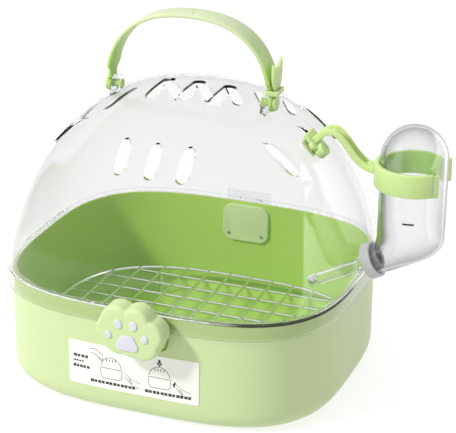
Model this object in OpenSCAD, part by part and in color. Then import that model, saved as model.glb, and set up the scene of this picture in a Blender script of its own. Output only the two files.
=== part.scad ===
// Small bird travel carrier: a green tub with a clear dome hinged at the back,
// a paw-shaped latch, a carrying strap, a wire floor grid and a clip-on water bottle.
// Millimetres. The front, with the latch, faces -Y; the bottle hangs on the +X side.
// The origin is the middle of the face that the tub rests on.

/* [Overall size] */
// Width of the dome across its skirt
carrier_w = 240; // [220:1:280]
// Depth of the dome across its skirt
carrier_d = 212; // [196:1:240]
// Height of the tub's rim
rim_h = 79; // [74:1:90]
// Height of the dome's top
dome_top = 201; // [190:1:220]
// Squareness of the outline seen from above
plan_square = 3.3; // [2.6:0.1:4]
// Squareness of the dome's shoulders
dome_shoulder = 2.8; // [2.4:0.1:3.2]
// Fullness of the dome's height
dome_fullness = 1.68; // [1.5:0.02:1.9]

/* [Tub and dome shells] */
// Wall of the tub
tub_wall = 2.6; // [2:0.1:3.4]
// Thickness of the tub's floor
tub_floor = 3; // [2:0.1:4]
// Rounding where the tub's side meets its floor
tub_foot_r = 14; // [10:0.5:16]
// Wall of the clear dome
dome_wall = 2; // [1.6:0.1:2.6]
// Height of the skirt that hangs over the tub's rim
skirt_h = 10; // [7:0.5:12]
// Gap between the skirt and the tub
skirt_gap = 0.8; // [0.6:0.1:1.2]
// Thickness of the ledge inside the dome that sits on the rim
ledge_t = 2; // [1.4:0.1:2.6]
// Clearance between pieces that rest on each other and move apart
rest_gap = 0.3; // [0.2:0.05:0.4]

/* [Vents] */
// Width of an air slot
vent_w = 9; // [7:0.5:10]
// Distance between neighbouring slots
vent_pitch = 22; // [18:1:26]
// Depth of the middle of the side slots below the dome's top
vent_down = 29.5; // [27:0.5:32]
// Length of an air slot, measured upright
vent_len = 19; // [15:1:20]
// Front to back length of the slots on the top
top_vent_len = 38; // [28:1:44]
// Distance of the outer slots from the middle of each side
side_vent_y = 38; // [34:1:42]

/* [Latch pocket and label] */
// Height where the leaning floor of the pocket would meet the outer wall
pocket_fade_z = 12; // [10:0.5:16]
// Depth of the pocket under the skirt
pocket_depth = 3.2; // [2.8:0.1:3.8]
// Half width of the pocket behind the paw
pocket_half_w = 18; // [16.5:0.5:22]
// Sideways shift of the pocket from the latch
pocket_shift = 3; // [2:0.5:4]
// Depth of the pocket's bottom below the latch pin
pocket_below = 8; // [7.6:0.1:9]
// Width of the label sheet
label_w = 93; // [70:1:94]
// Height of the label sheet
label_h = 31.5; // [20:0.5:32]
// Sideways shift of the label from the middle
label_shift = -2.6; // [-5:0.1:0]
// Gap between the label's top and the latch's ear
label_gap = 7.1; // [6.2:0.1:8]
// Thickness of the label sheet
label_t = 0.5; // [0.3:0.1:0.6]

/* [Latch] */
// Distance of the latch from the middle of the front
latch_x = 2; // [-6:0.5:6]
// Depth of the latch's pivot below the tub's rim
latch_pivot_down = 18; // [17:0.5:20]
// Distance of the latch's pivot in front of the tub's wall
latch_pivot_out = 1.6; // [1.2:0.1:2.4]
// Diameter of the latch pin
latch_pin_d = 2.5; // [2:0.1:3]
// Width of the middle ear on the tub
latch_ear_w = 10; // [8:0.5:12]
// Width of each ear on the latch arm
latch_fork_w = 4; // [3:0.5:5]
// Thickness of the paw from front to back
paw_t = 14.4; // [12:0.2:16]
// Wall of the hollow paw
paw_wall = 2.2; // [1.6:0.1:2.6]
// Height of the middle of the paw above the latch's pivot
paw_mid_up = 14.5; // [13:0.5:16]
// How far the pads stand out
pad_t = 0.9; // [0.6:0.1:1.4]
// How far the catch on the dome stands out
catch_t = 1; // [0.8:0.1:1.2]

/* [Rear hinge] */
// Diameter of the hinge pin
hinge_pin_d = 3; // [2.4:0.1:3.4]
// Outer radius of the hinge knuckles
knuckle_r = 4.4; // [3.8:0.1:4.5]
// Width of the hinge across the tub's two knuckles
hinge_w = 40; // [34:1:44]
// Width of the dome's middle knuckle
hinge_mid_w = 16; // [12:1:20]
// Distance of the hinge axis behind the skirt
hinge_out = 5.2; // [5:0.1:6]
// Thickness of the hinge plates
hinge_plate_t = 2.2; // [1.8:0.1:2.6]
// Distance from the hinge screws to the edge of the plates
backing_edge = 5; // [4.6:0.1:6]
// Gap between the inner plate and the tub's rim
backing_down = 2; // [1:0.5:4]
// Diameter of the hinge screws
screw_d = 3; // [2.5:0.1:3.5]
// Distance between the hinge screws
screw_pitch = 26; // [22:1:30]
// Depth of the hinge screws below the tub's rim
screw_down = 26; // [25.5:0.5:28]
// Width of the hinge leaf on the dome
leaf_w = 34; // [24:1:40]
// Height of the hinge leaf on the dome
leaf_h = 14; // [9:0.5:18]

/* [Carrying strap] */
// Distance between the strap's two ends
strap_span = 114.8; // [104:0.2:118]
// Height of the strap's arch above its pivots
strap_rise = 54; // [50:1:66]
// Width of the strap
strap_w = 18; // [16:0.5:22]
// Thickness of the strap
strap_t = 2.6; // [2:0.1:3.2]
// Place of the strap along the depth
strap_y = -8; // [-12:0.5:0]
// Height of the strap's pivots above the dome's skin
strap_pivot_up = 5.4; // [5.2:0.1:8]
// Diameter of the strap buttons' shafts
button_d = 5; // [4:0.1:5.4]
// Thickness of the clear lugs
lug_t = 4.4; // [3.6:0.1:5]

/* [Floor grid] */
// Height of the grid above the rest face
grid_z = 22; // [20:0.5:28]
// Distance between neighbouring wires
grid_pitch = 17; // [14:0.5:20]
// Diameter of the grid's wires
grid_wire_d = 2; // [1.6:0.1:2.4]
// Diameter of the grid's border wire
grid_rim_d = 3; // [2.6:0.1:3.6]
// Gap between the border wire and the tub's wall
grid_side_gap = 2.4; // [1.6:0.1:4]

/* [Water bottle] */
// Distance of the bottle's axis from the dome's side
bottle_out = 32.2; // [31.5:0.1:38]
// Outer diameter of the bottle
bottle_d = 44.6; // [40:0.2:46]
// Height of the middle of the bottle's lower round end above the nozzle's hole
bottle_low_up = 35.5; // [34:0.5:38]
// Length of the bottle between its two round ends
bottle_straight = 44.5; // [42:0.5:54]
// Wall of the bottle
bottle_wall = 1.6; // [1.2:0.1:2]
// Height of the nozzle's hole above the tub's rim
port_up = 11.5; // [11:0.5:14]
// Diameter of the hole for the nozzle
port_d = 11; // [10.4:0.2:12]
// Downward tilt of the nozzle
nozzle_tilt = 28; // [26:0.5:30]
// Outer diameter of the nozzle tube
nozzle_d = 8.5; // [7.5:0.1:9]
// Wall of the nozzle tube
nozzle_wall = 1; // [0.8:0.05:1.2]
// Length of the nozzle inside the cabin
nozzle_reach = 41; // [34:1:44]
// Diameter of the drinking ball
ball_d = 6.4; // [5.8:0.05:6.45]
// Outer diameter of the cap
cap_d = 24.6; // [23.6:0.1:25.6]
// Length of the cap
cap_len = 7; // [6:0.2:8]
// Gap along the nozzle between the dome and the cap
cap_standoff = 5.4; // [5.2:0.1:7]

/* [Bottle bracket] */
// Height of the bracket's ring above the middle of the bottle's lower round end
ring_up = 26; // [22:0.5:27]
// Height of the bracket's ring
ring_h = 15.5; // [12:0.5:17]
// Thickness of the bracket's ring
ring_t = 3.2; // [2.6:0.1:3.6]
// Half of the angle that the ring leaves open
ring_open = 41; // [34:1:46]
// Width of the bracket's arm
arm_w = 10; // [8:0.5:12]
// Thickness of the bracket's arm
arm_t = 4.6; // [4:0.1:5.4]

/* [Hidden] */
$fn = 48;

leaf_green = [0.76, 0.87, 0.58];
pad_grey = [0.87, 0.87, 0.9];
clear_tint = [0.93, 0.94, 0.95, 0.35];
steel = [0.75, 0.76, 0.78];
paper = [0.97, 0.98, 0.94];
dark_rubber = [0.12, 0.12, 0.13];

seg = 48;
dome_rings = 12;
foot_rings = 4;
eps = 0.02;
run_gap = 0.05;

half_w = carrier_w / 2;
half_d = carrier_d / 2;
skirt_z = rim_h - skirt_h;
tub_inset = dome_wall + skirt_gap;
ledge_z = rim_h + rest_gap;
flat_share = pow(cos(180 / seg), 2 / plan_square);
skirt_face = half_d * flat_share;
tub_face = (half_d - tub_inset) * flat_share;
tub_inner_face = (half_d - tub_inset - tub_wall) * flat_share;

// Outline of the carrier seen from above, a rounded rectangle by formula
function signed_pow(v, p) = sign(v) * pow(abs(v), p);
function outline_point(a, b, n, k, count) =
    let (f = (k + 0.5) * 360 / count)
    [a * signed_pow(cos(f), 2 / n), b * signed_pow(sin(f), 2 / n)];
function level(a, b, n, z) =
    [for (k = [0 : seg - 1]) concat(outline_point(a, b, n, k, seg), [z])];

// Shape of the dome from its rim, share 0, to its top, share 1
function dome_narrow(share) = pow(cos(90 * share), 2 / dome_shoulder);
function dome_n(share) = plan_square * (1 - share) + 2 * share;
function dome_height(share, inset) =
    rim_h + (dome_top - inset - rim_h) * pow(sin(90 * share), 2 / dome_fullness);
function dome_level(share, inset) =
    level((half_w - inset) * dome_narrow(share), (half_d - inset) * dome_narrow(share),
        dome_n(share), dome_height(share, inset));

// Share of the dome's rise at which its skin passes over a point of the plan
function within_dome(x, y, share) =
    pow(abs(x) / (half_w * dome_narrow(share)), dome_n(share))
    + pow(abs(y) / (half_d * dome_narrow(share)), dome_n(share)) < 1;
function share_over(x, y, low = 0, high = 0.999, left = 20) =
    left == 0 ? low
    : let (mid = (low + high) / 2)
      within_dome(x, y, mid) ? share_over(x, y, mid, high, left - 1)
      : share_over(x, y, low, mid, left - 1);
function dome_z(x, y) = dome_height(share_over(x, y), 0);
function share_at(z) =
    asin(pow((z - rim_h) / (dome_top - rim_h), dome_fullness / 2)) / 90;
function dome_side_x(z) = half_w * dome_narrow(share_at(z));

// Closed skin through a list of levels, with both ends capped
module skin(levels) {
    count = len(levels);
    sides = [for (j = [0 : count - 2], k = [0 : seg - 1])
        let (a = j * seg + k, b = j * seg + (k + 1) % seg)
        each [[a, a + seg, b + seg], [a, b + seg, b]]];
    first_cap = [for (k = [0 : seg - 1]) k];
    last_cap = [for (k = [seg - 1 : -1 : 0]) (count - 1) * seg + k];
    polyhedron([for (l = levels) each l], concat([first_cap], sides, [last_cap]));
}

// Tub
function tub_level(inset, z) =
    level(half_w - tub_inset - inset, half_d - tub_inset - inset, plan_square, z);
tub_inner_r = tub_foot_r - tub_wall;
tub_levels = concat(
    [for (i = [0 : foot_rings]) let (f = 90 * i / foot_rings)
        tub_level(tub_foot_r * (1 - sin(f)), tub_foot_r * (1 - cos(f)))],
    [tub_level(0, rim_h), tub_level(tub_wall, rim_h)],
    [for (i = [foot_rings : -1 : 0]) let (f = 90 * i / foot_rings)
        tub_level(tub_wall + tub_inner_r * (1 - sin(f)), tub_floor + tub_inner_r * (1 - cos(f)))]);

latch_pivot_z = rim_h - latch_pivot_down;
// The pocket's floor leans in towards the top and carries the latch
pocket_tilt = atan(pocket_depth / (skirt_z - pocket_fade_z));
pocket_top = (skirt_z - 0.4 - pocket_fade_z) / cos(pocket_tilt);
pocket_low = (latch_pivot_z - pocket_below - pocket_fade_z) / cos(pocket_tilt);
pocket_back_t = tub_wall - 0.2;
pocket_rim_t = 2;
pocket_square = 4;
pocket_half_h = 12;
module on_pocket() {
    translate([0, -tub_face, pocket_fade_z])
        rotate([-pocket_tilt, 0, 0])
            rotate([90, 0, 0])
                children();
}
module pocket_outline(grow) {
    intersection() {
        translate([latch_x + pocket_shift, pocket_low + pocket_half_h])
            polygon([for (k = [0 : seg - 1])
                outline_point(pocket_half_w + grow, pocket_half_h + grow, pocket_square, k, seg)]);
        translate([-half_w, 0])
            square([carrier_w, pocket_top + grow]);
    }
}
screw_z = rim_h - screw_down;
screw_head_r = screw_d / 2 + 1.4;
module at_screws() {
    for (side = [-1, 1])
        translate([side * screw_pitch / 2, tub_face, screw_z])
            rotate([90, 0, 0])
                children();
}
module tub() {
    color(leaf_green)
        difference() {
            union() {
                skin(tub_levels);
                on_pocket()
                    translate([0, 0, -pocket_back_t])
                        linear_extrude(pocket_back_t + pocket_rim_t)
                            pocket_outline(pocket_rim_t);
            }
            on_pocket()
                linear_extrude(3 * tub_foot_r)
                    pocket_outline(0);
            at_screws()
                cylinder(h = 4 * tub_wall, r = screw_d / 2 + run_gap, center = true);
        }
}
// The label is bent round the tub's front wall
module wall_plan(grow) {
    polygon([for (k = [0 : seg - 1])
        outline_point(half_w - tub_inset + grow, half_d - tub_inset + grow, plan_square, k, seg)]);
}
module front_label() {
    label_top_z = latch_pivot_z - latch_ear_r - 0.6 - label_gap;
    color(paper)
        translate([0, 0, label_top_z - label_h])
            linear_extrude(label_h)
                intersection() {
                    difference() {
                        wall_plan(label_t);
                        wall_plan(0);
                    }
                    translate([label_shift - label_w / 2, -carrier_d])
                        square([label_w, carrier_d]);
                }
}

// Latch: a fork that turns on a pin in the tub's middle ear and carries the paw
latch_pivot_y = -(tub_face + latch_pivot_out);
paw_mid_z = latch_pivot_z + paw_mid_up;
latch_pin_r = latch_pin_d / 2;
latch_ear_r = latch_pin_r + 1.5;
latch_side_gap = 0.3;
latch_half_w = latch_ear_w / 2 + latch_side_gap + latch_fork_w;
catch_face = skirt_face + catch_t;
arm_back = catch_face + rest_gap;
arm_plate_t = 2.2;
arm_top_z = rim_h + 5;
paw_back = arm_back + 0.4;
paw_front = paw_back + paw_t;
module at_latch_pivot() {
    translate([latch_x, latch_pivot_y, latch_pivot_z])
        rotate([0, 90, 0])
            children();
}
// A piece drawn in the Y-Z plane and given its width along X
module across(width) {
    rotate([90, 0, 90])
        linear_extrude(width, center = true)
            children();
}
module latch_base() {
    floor_y = -tub_face + (latch_pivot_z - pocket_fade_z) * tan(pocket_tilt);
    half_h = latch_ear_r + 0.6;
    lean = half_h * tan(pocket_tilt);
    color(leaf_green)
        difference() {
            union() {
                translate([latch_x, 0, latch_pivot_z])
                    across(latch_ear_w)
                        polygon([[floor_y - lean, -half_h], [floor_y + lean, half_h],
                            [latch_pivot_y, latch_ear_r], [latch_pivot_y, -latch_ear_r]]);
                at_latch_pivot()
                    cylinder(h = latch_ear_w, r = latch_ear_r, center = true);
            }
            at_latch_pivot()
                cylinder(h = 2 * latch_ear_w, r = latch_pin_r + 0.01, center = true);
        }
}
module latch_pin() {
    color(steel)
        at_latch_pivot()
            cylinder(h = 2 * latch_half_w, r = latch_pin_r, center = true);
}
module latch_arm() {
    post_r = 4;
    fork_mid = latch_ear_w / 2 + latch_side_gap + latch_fork_w / 2;
    color(leaf_green)
        difference() {
            union() {
                translate([latch_x, 0, 0])
                    across(2 * latch_half_w)
                        translate([-arm_back - arm_plate_t, latch_pivot_z + latch_ear_r + 1])
                            square([arm_plate_t, arm_top_z - latch_pivot_z - latch_ear_r - 1]);
                for (side = [-1, 1]) {
                    translate([latch_x + side * fork_mid, 0, 0])
                        across(latch_fork_w)
                            polygon([[latch_pivot_y - 1, latch_pivot_z - latch_ear_r + 0.2],
                                [-arm_back - arm_plate_t, latch_pivot_z + 3],
                                [-arm_back - arm_plate_t, latch_pivot_z + 12],
                                [-arm_back, latch_pivot_z + 12],
                                [latch_pivot_y, latch_pivot_z + latch_ear_r]]);
                    translate([side * fork_mid, 0, 0])
                        at_latch_pivot()
                            cylinder(h = latch_fork_w, r = latch_ear_r, center = true);
                }
                translate([latch_x, -arm_back - arm_plate_t / 2, paw_mid_z])
                    rotate([90, 0, 0])
                        cylinder(h = paw_front - paw_wall - arm_back - arm_plate_t / 2, r = post_r);
            }
            at_latch_pivot()
                cylinder(h = 3 * latch_half_w, r = latch_pin_r + run_gap, center = true);
        }
}
// Lobes of the paw seen from the front: place and radius from its middle
paw_lobes = [[-8, 3.3, 11], [5.4, 4.4, 9.8], [14.2, -3.4, 10.2], [-11.2, -2.8, 10.8],
    [-6, -6.4, 13], [3.4, -5.6, 14.8], [10.8, -10.2, 10.8]];
module paw_outline(inset) {
    for (lobe = paw_lobes)
        translate([lobe[0], lobe[1]])
            circle(lobe[2] - inset);
}
// Faces forwards from the plane at the given distance in front of the middle
module facing_front(distance) {
    translate([latch_x, -distance, paw_mid_z])
        rotate([90, 0, 0])
            children();
}
module paw_cover() {
    color(leaf_green)
        difference() {
            facing_front(paw_back)
                linear_extrude(paw_t)
                    paw_outline(0);
            facing_front(paw_back - 1)
                linear_extrude(paw_t - paw_wall + 1)
                    paw_outline(paw_wall);
        }
}
// Toe pads: place and radius from the paw's middle
toe_pads = [[-5.6, 2.9, 2.7], [4.9, 3, 2.8], [-12.5, -5.5, 2.1], [12.6, -5.2, 2.3]];
module paw_toe_pads() {
    color(pad_grey)
        facing_front(paw_front)
            for (toe = toe_pads)
                translate([toe[0], toe[1], 0])
                    cylinder(h = pad_t, r = toe[2]);
}
module paw_heel_pad() {
    pad_r = 3;
    color(pad_grey)
        facing_front(paw_front)
            linear_extrude(pad_t)
                hull()
                    for (p = [[-4.6, -12.2], [5.2, -12.2], [3, -7.4], [-1.6, -7.6]])
                        translate(p)
                            circle(pad_r, $fn = 32);
}
module dome_catch() {
    catch_h = 2.4;
    catch_w = 16;
    color(clear_tint)
        translate([latch_x - catch_w / 2, -catch_face, skirt_z + 5])
            cube([catch_w, catch_t, catch_h]);
}

// Rear hinge
hinge_y = skirt_face + hinge_out;
hinge_z = skirt_z - 3;
hinge_pin_r = hinge_pin_d / 2;
hinge_side_gap = 0.3;
tub_knuckle_w = (hinge_w - hinge_mid_w) / 2 - hinge_side_gap;
tub_knuckle_x = (hinge_mid_w + tub_knuckle_w) / 2 + hinge_side_gap;
hinge_plate_low = screw_z - backing_edge;
module at_hinge() {
    translate([0, hinge_y, hinge_z])
        rotate([0, 90, 0])
            children();
}
module hinge_bracket() {
    plate_top = hinge_z - knuckle_r - 0.6;
    web_low = screw_z + screw_head_r + 1;
    color(leaf_green)
        difference() {
            union() {
                translate([-hinge_w / 2, tub_face, hinge_plate_low])
                    cube([hinge_w, hinge_plate_t, plate_top - hinge_plate_low]);
                for (side = [-1, 1])
                    translate([side * tub_knuckle_x, 0, 0]) {
                        across(tub_knuckle_w)
                            polygon([[tub_face, web_low],
                                [tub_face + hinge_plate_t, web_low],
                                [hinge_y, hinge_z - knuckle_r],
                                [hinge_y - knuckle_r * 0.9, hinge_z + knuckle_r * 0.4],
                                [tub_face, plate_top]]);
                        at_hinge()
                            cylinder(h = tub_knuckle_w, r = knuckle_r, center = true);
                    }
            }
            at_hinge()
                cylinder(h = 2 * hinge_w, r = hinge_pin_r + 0.01, center = true);
            at_screws()
                cylinder(h = 4 * tub_wall + 2 * hinge_plate_t, r = screw_d / 2 + run_gap, center = true);
        }
}
module hinge_backing_plate() {
    corner_r = backing_edge + 3;
    low = hinge_plate_low;
    high = rim_h - backing_down;
    half = screw_pitch / 2 + backing_edge;
    color(leaf_green)
        difference() {
            translate([0, tub_inner_face, 0])
                rotate([90, 0, 0])
                    linear_extrude(hinge_plate_t)
                        union() {
                            translate([-half, low + corner_r])
                                square([2 * half, high - low - 2 * corner_r]);
                            translate([-half + corner_r, low])
                                square([2 * (half - corner_r), high - low]);
                            for (x = [-half + corner_r, half - corner_r], z = [low + corner_r, high - corner_r])
                                translate([x, z])
                                    circle(corner_r);
                        }
            at_screws()
                cylinder(h = 6 * tub_wall, r = screw_d / 2 + 0.01, center = true);
        }
}
module hinge_screws() {
    head_t = 1.6;
    color(steel)
        at_screws() {
            translate([0, 0, -hinge_plate_t - head_t])
                cylinder(h = head_t, r = screw_head_r);
            translate([0, 0, -hinge_plate_t - head_t / 2])
                cylinder(h = head_t / 2 + 2 * hinge_plate_t + tub_face - tub_inner_face, r = screw_d / 2);
        }
}
module hinge_pin() {
    color(steel)
        at_hinge()
            cylinder(h = hinge_w + 2, r = hinge_pin_r, center = true);
}
module dome_hinge_leaf() {
    leaf_low = hinge_z + knuckle_r + 1.2;
    leaf_t = dome_wall;
    arm_h = 0.65 * leaf_h;
    color(clear_tint)
        difference() {
            union() {
                translate([-leaf_w / 2, skirt_face, leaf_low])
                    cube([leaf_w, leaf_t, leaf_h]);
                across(hinge_mid_w)
                    polygon([[skirt_face, leaf_low], [skirt_face, leaf_low + arm_h],
                        [skirt_face + leaf_t, leaf_low + arm_h],
                        [hinge_y + knuckle_r * 0.8, hinge_z + knuckle_r * 0.6],
                        [hinge_y, hinge_z], [hinge_y - knuckle_r * 0.8, hinge_z + knuckle_r * 0.6]]);
                at_hinge()
                    cylinder(h = hinge_mid_w, r = knuckle_r, center = true);
            }
            at_hinge()
                cylinder(h = 2 * hinge_w, r = hinge_pin_r + run_gap, center = true);
        }
}

// Nozzle frame: origin where the nozzle passes the dome's skin, +Z towards its tip
port_z = rim_h + port_up;
port_x = dome_side_x(port_z);
module on_nozzle() {
    translate([port_x, 0, port_z])
        rotate([0, -90 - nozzle_tilt, 0])
            children();
}

// Dome with its air slots and the hole for the nozzle
dome_levels = concat(
    [for (i = [dome_rings : -1 : 1]) dome_level(i / (dome_rings + 0.5), dome_wall)],
    [for (l = [[dome_wall, ledge_z + ledge_t], [tub_inset + tub_wall, ledge_z + ledge_t],
            [tub_inset + tub_wall, ledge_z], [dome_wall, ledge_z], [dome_wall, skirt_z],
            [0, skirt_z], [0, rim_h]])
        level(half_w - l[0], half_d - l[0], plan_square, l[1])],
    [for (i = [1 : dome_rings]) dome_level(i / (dome_rings + 0.5), 0)]);
module slot(length) {
    reach = 30;
    hull()
        for (end = [-1, 1])
            translate([0, end * (length - vent_w) / 2, 0])
                cylinder(h = 2 * reach, r = vent_w / 2, center = true, $fn = 24);
}
front_vents = 1;
rear_vents = 2;
vent_mid_z = dome_top - vent_down;
vent_depth = half_d * dome_narrow(share_at(vent_mid_z));
module dome() {
    side_x = dome_side_x(vent_mid_z);
    color(clear_tint)
        difference() {
            skin(dome_levels);
            for (i = [-front_vents : front_vents])
                translate([i * vent_pitch, -vent_depth, vent_mid_z])
                    rotate([90, 0, 0])
                        slot(vent_len);
            for (i = [-rear_vents : rear_vents])
                translate([i * vent_pitch, vent_depth, vent_mid_z])
                    rotate([90, 0, 0])
                        slot(vent_len);
            for (i = [-front_vents : front_vents])
                translate([i * vent_pitch, strap_y, dome_top])
                    slot(top_vent_len);
            for (side = [-1, 1], row = [-1 : 1])
                translate([side * side_x, row * side_vent_y, vent_mid_z])
                    rotate([90, 0, 90])
                        slot(vent_len);
            on_nozzle()
                cylinder(h = 20, r = port_d / 2, center = true);
        }
}

// Strap lugs, moulded on the dome where the strap's buttons turn
strap_half = strap_span / 2;
lug_out_x = strap_half - strap_t / 2 - rest_gap;
lug_mid_x = lug_out_x - lug_t / 2;
lug_skin_z = dome_z(lug_mid_x, strap_y);
strap_pivot_z = lug_skin_z + strap_pivot_up;
button_r = button_d / 2;
lug_r = button_r + 3.6;
module at_strap_pivot(x) {
    translate([x, strap_y, strap_pivot_z])
        rotate([0, 90, 0])
            children();
}
module strap_lug(side) {
    foot_w = 20;
    sink = 0.8;
    lean = (dome_z(lug_out_x, strap_y) - dome_z(lug_out_x - lug_t, strap_y)) / lug_t;
    color(clear_tint)
        difference() {
            union() {
                translate([side * lug_mid_x, strap_y, strap_pivot_z])
                    across(lug_t)
                        polygon([[-foot_w / 2, -strap_pivot_up - 4], [foot_w / 2, -strap_pivot_up - 4],
                            [lug_r, 0], [-lug_r, 0]]);
                at_strap_pivot(side * lug_mid_x)
                    cylinder(h = lug_t, r = lug_r, center = true);
            }
            translate([side * lug_mid_x, strap_y, lug_skin_z - sink])
                rotate([0, -side * atan(lean), 0])
                    translate([-20, -20, -20])
                        cube([40, 40, 20]);
            at_strap_pivot(side * lug_mid_x)
                cylinder(h = 2 * lug_t, r = button_r + run_gap, center = true);
        }
}
module strap_lug_left() strap_lug(-1);
module strap_lug_right() strap_lug(1);
module strap_button(side) {
    head_r = button_r + 2.6;
    head_t = 2;
    snap_r = button_r + 0.9;
    snap_t = 1.4;
    head_in = strap_half + strap_t / 2;
    snap_out = lug_out_x - lug_t - rest_gap;
    color(leaf_green) {
        at_strap_pivot(side * (head_in + head_t / 2))
            cylinder(h = head_t, r = head_r, center = true);
        at_strap_pivot(side * (head_in + snap_out) / 2)
            cylinder(h = head_in - snap_out + snap_t / 2, r = button_r, center = true);
        at_strap_pivot(side * (snap_out - snap_t / 2))
            cylinder(h = snap_t, r = snap_r, center = true);
    }
}
module strap_button_left() strap_button(-1);
module strap_button_right() strap_button(1);

// Strap: an arch with full shoulders, narrowed at its two ends
strap_steps = 40;
left_shoulder = 2.3;
right_shoulder = 2.4;
function arch_point(k) =
    let (f = 180 * k / strap_steps, n = f > 90 ? left_shoulder : right_shoulder)
    [strap_half * signed_pow(cos(f), 2 / n), strap_rise * signed_pow(sin(f), 2 / n)];
function arch_normal(k) =
    let (a = arch_point(max(k - 1, 0)), b = arch_point(min(k + 1, strap_steps)),
        d = b - a)
    k == 0 ? [1, 0] : k == strap_steps ? [-1, 0] : [d[1], -d[0]] / norm(d);
strap_end_r = 5.9;
module arch_band() {
    outer = [for (k = [0 : strap_steps]) arch_point(k) + arch_normal(k) * strap_t / 2];
    inner = [for (k = [strap_steps : -1 : 0]) arch_point(k) - arch_normal(k) * strap_t / 2];
    drop = strap_end_r + 1;
    polygon(concat([[strap_half + strap_t / 2, -drop]], outer,
        [[-strap_half - strap_t / 2, -drop], [-strap_half + strap_t / 2, -drop]],
        inner, [[strap_half - strap_t / 2, -drop]]));
}
neck_w = 10;
module carry_strap() {
    neck_top = 10;
    shoulder_top = 15;
    color(leaf_green)
        difference() {
            intersection() {
                translate([0, strap_y, strap_pivot_z])
                    rotate([90, 0, 0])
                        linear_extrude(strap_w, center = true)
                            arch_band();
                translate([0, strap_y, strap_pivot_z])
                    across(2 * carrier_w)
                        union() {
                            polygon([[-strap_w / 2 - 1, shoulder_top], [-neck_w / 2, neck_top],
                                [-neck_w / 2, 0], [neck_w / 2, 0], [neck_w / 2, neck_top],
                                [strap_w / 2 + 1, shoulder_top], [strap_w / 2 + 1, 2 * strap_rise],
                                [-strap_w / 2 - 1, 2 * strap_rise]]);
                            circle(strap_end_r);
                        }
            }
            for (side = [-1, 1])
                at_strap_pivot(side * strap_half)
                    cylinder(h = 4 * strap_t, r = button_r + 0.01, center = true);
        }
}
// Keeper loop round the strap's neck and its tail, above the right button
function arch_x(up) =
    strap_half * pow(cos(asin(pow(up / strap_rise, right_shoulder / 2))), 2 / right_shoulder);
keeper_up = strap_end_r + 2.2;
keeper_h = 3.2;
keeper_wall = 1.5;
tail_t = 2;
tail_gap = 0.4;
keeper_in_x = arch_x(keeper_up + keeper_h / 2) - strap_t / 2 - rest_gap;
keeper_out_x = strap_half + strap_t / 2 + tail_t + 2 * tail_gap;
module strap_keeper() {
    loop_w = neck_w + 2 * rest_gap;
    color(leaf_green)
        translate([0, strap_y, strap_pivot_z + keeper_up])
            difference() {
                translate([keeper_in_x - keeper_wall, -loop_w / 2 - keeper_wall, -keeper_h / 2])
                    cube([keeper_out_x - keeper_in_x + 2 * keeper_wall, loop_w + 2 * keeper_wall, keeper_h]);
                translate([keeper_in_x, -loop_w / 2, -keeper_h])
                    cube([keeper_out_x - keeper_in_x, loop_w, 2 * keeper_h]);
            }
}
// Tail of the strap: a leaf with two points and a hollow between them
module strap_tail() {
    tail_w = 17;
    tail_low = strap_end_r + 0.3;
    tail_top = 30;
    color(leaf_green)
        translate([strap_half + strap_t / 2 + tail_gap + tail_t / 2, strap_y, strap_pivot_z])
            across(tail_t)
                polygon([[0, tail_low], [3, tail_low + 0.8], [4.4, tail_low + 3.4],
                    [7, tail_low + 7.6], [tail_w / 2, tail_low + 13], [tail_w / 2, tail_top - 7], [tail_w / 2 - 0.8, tail_top],
                    [4.4, tail_top - 4], [0, tail_top - 5.4], [-4, tail_top - 5],
                    [-tail_w / 2 + 0.8, tail_top - 2], [-tail_w / 2, tail_top - 8],
                    [-tail_w / 2, tail_low + 13], [-7, tail_low + 7.6], [-4.4, tail_low + 3.4],
                    [-3, tail_low + 0.8]]);
}

// Wire floor grid that stands on its own legs and lifts out
grid_rim_r = grid_rim_d / 2;
grid_wire_r = grid_wire_d / 2;
grid_half_w = half_w - tub_inset - tub_wall - grid_side_gap - grid_rim_r;
grid_half_d = half_d - tub_inset - tub_wall - 4 * grid_side_gap;
grid_corner = 2.9;
rim_steps = 40;
function grid_reach(v, along, across_half) =
    across_half * pow(1 - pow(abs(v) / along, grid_corner), 1 / grid_corner);
module rod(from, to, r) {
    hull() {
        translate(from)
            sphere(r, $fn = 6);
        translate(to)
            sphere(r, $fn = 6);
    }
}
// Border wire: a hexagonal ring that follows the outline
rim_sides = 6;
function rim_point(k) =
    outline_point(grid_half_w, grid_half_d, grid_corner, k % rim_steps, rim_steps);
function rim_out(k) =
    let (d = rim_point(k + 1) - rim_point(k + rim_steps - 1))
    [d[1], -d[0]] / norm(d);
module border_wire() {
    points = [for (k = [0 : rim_steps - 1], j = [0 : rim_sides - 1])
        let (f = 360 * j / rim_sides, p = rim_point(k) + rim_out(k) * grid_rim_r * cos(f))
        [p[0], p[1], grid_z + grid_rim_r * sin(f)]];
    faces = [for (k = [0 : rim_steps - 1], j = [0 : rim_sides - 1])
        let (m = (k + 1) % rim_steps, i = (j + 1) % rim_sides,
            a = k * rim_sides + j, b = k * rim_sides + i,
            c = m * rim_sides + i, d = m * rim_sides + j)
        each [[a, b, c], [a, c, d]]];
    polyhedron(points, faces);
}
across_count = floor((grid_half_w - 2 * grid_rim_d) / grid_pitch - 0.5);
along_count = floor((grid_half_d - 2 * grid_rim_d) / grid_pitch - 0.5);
module floor_grid() {
    color(steel) {
        border_wire();
        for (i = [-across_count - 1 : across_count]) {
            x = (i + 0.5) * grid_pitch;
            y = grid_reach(x, grid_half_w, grid_half_d);
            rod([x, -y, grid_z + grid_wire_r / 2], [x, y, grid_z + grid_wire_r / 2], grid_wire_r);
        }
        for (i = [-along_count - 1 : along_count]) {
            y = (i + 0.5) * grid_pitch;
            x = grid_reach(y, grid_half_d, grid_half_w);
            rod([-x, y, grid_z - grid_wire_r], [x, y, grid_z - grid_wire_r], grid_wire_r);
        }
    }
}
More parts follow.
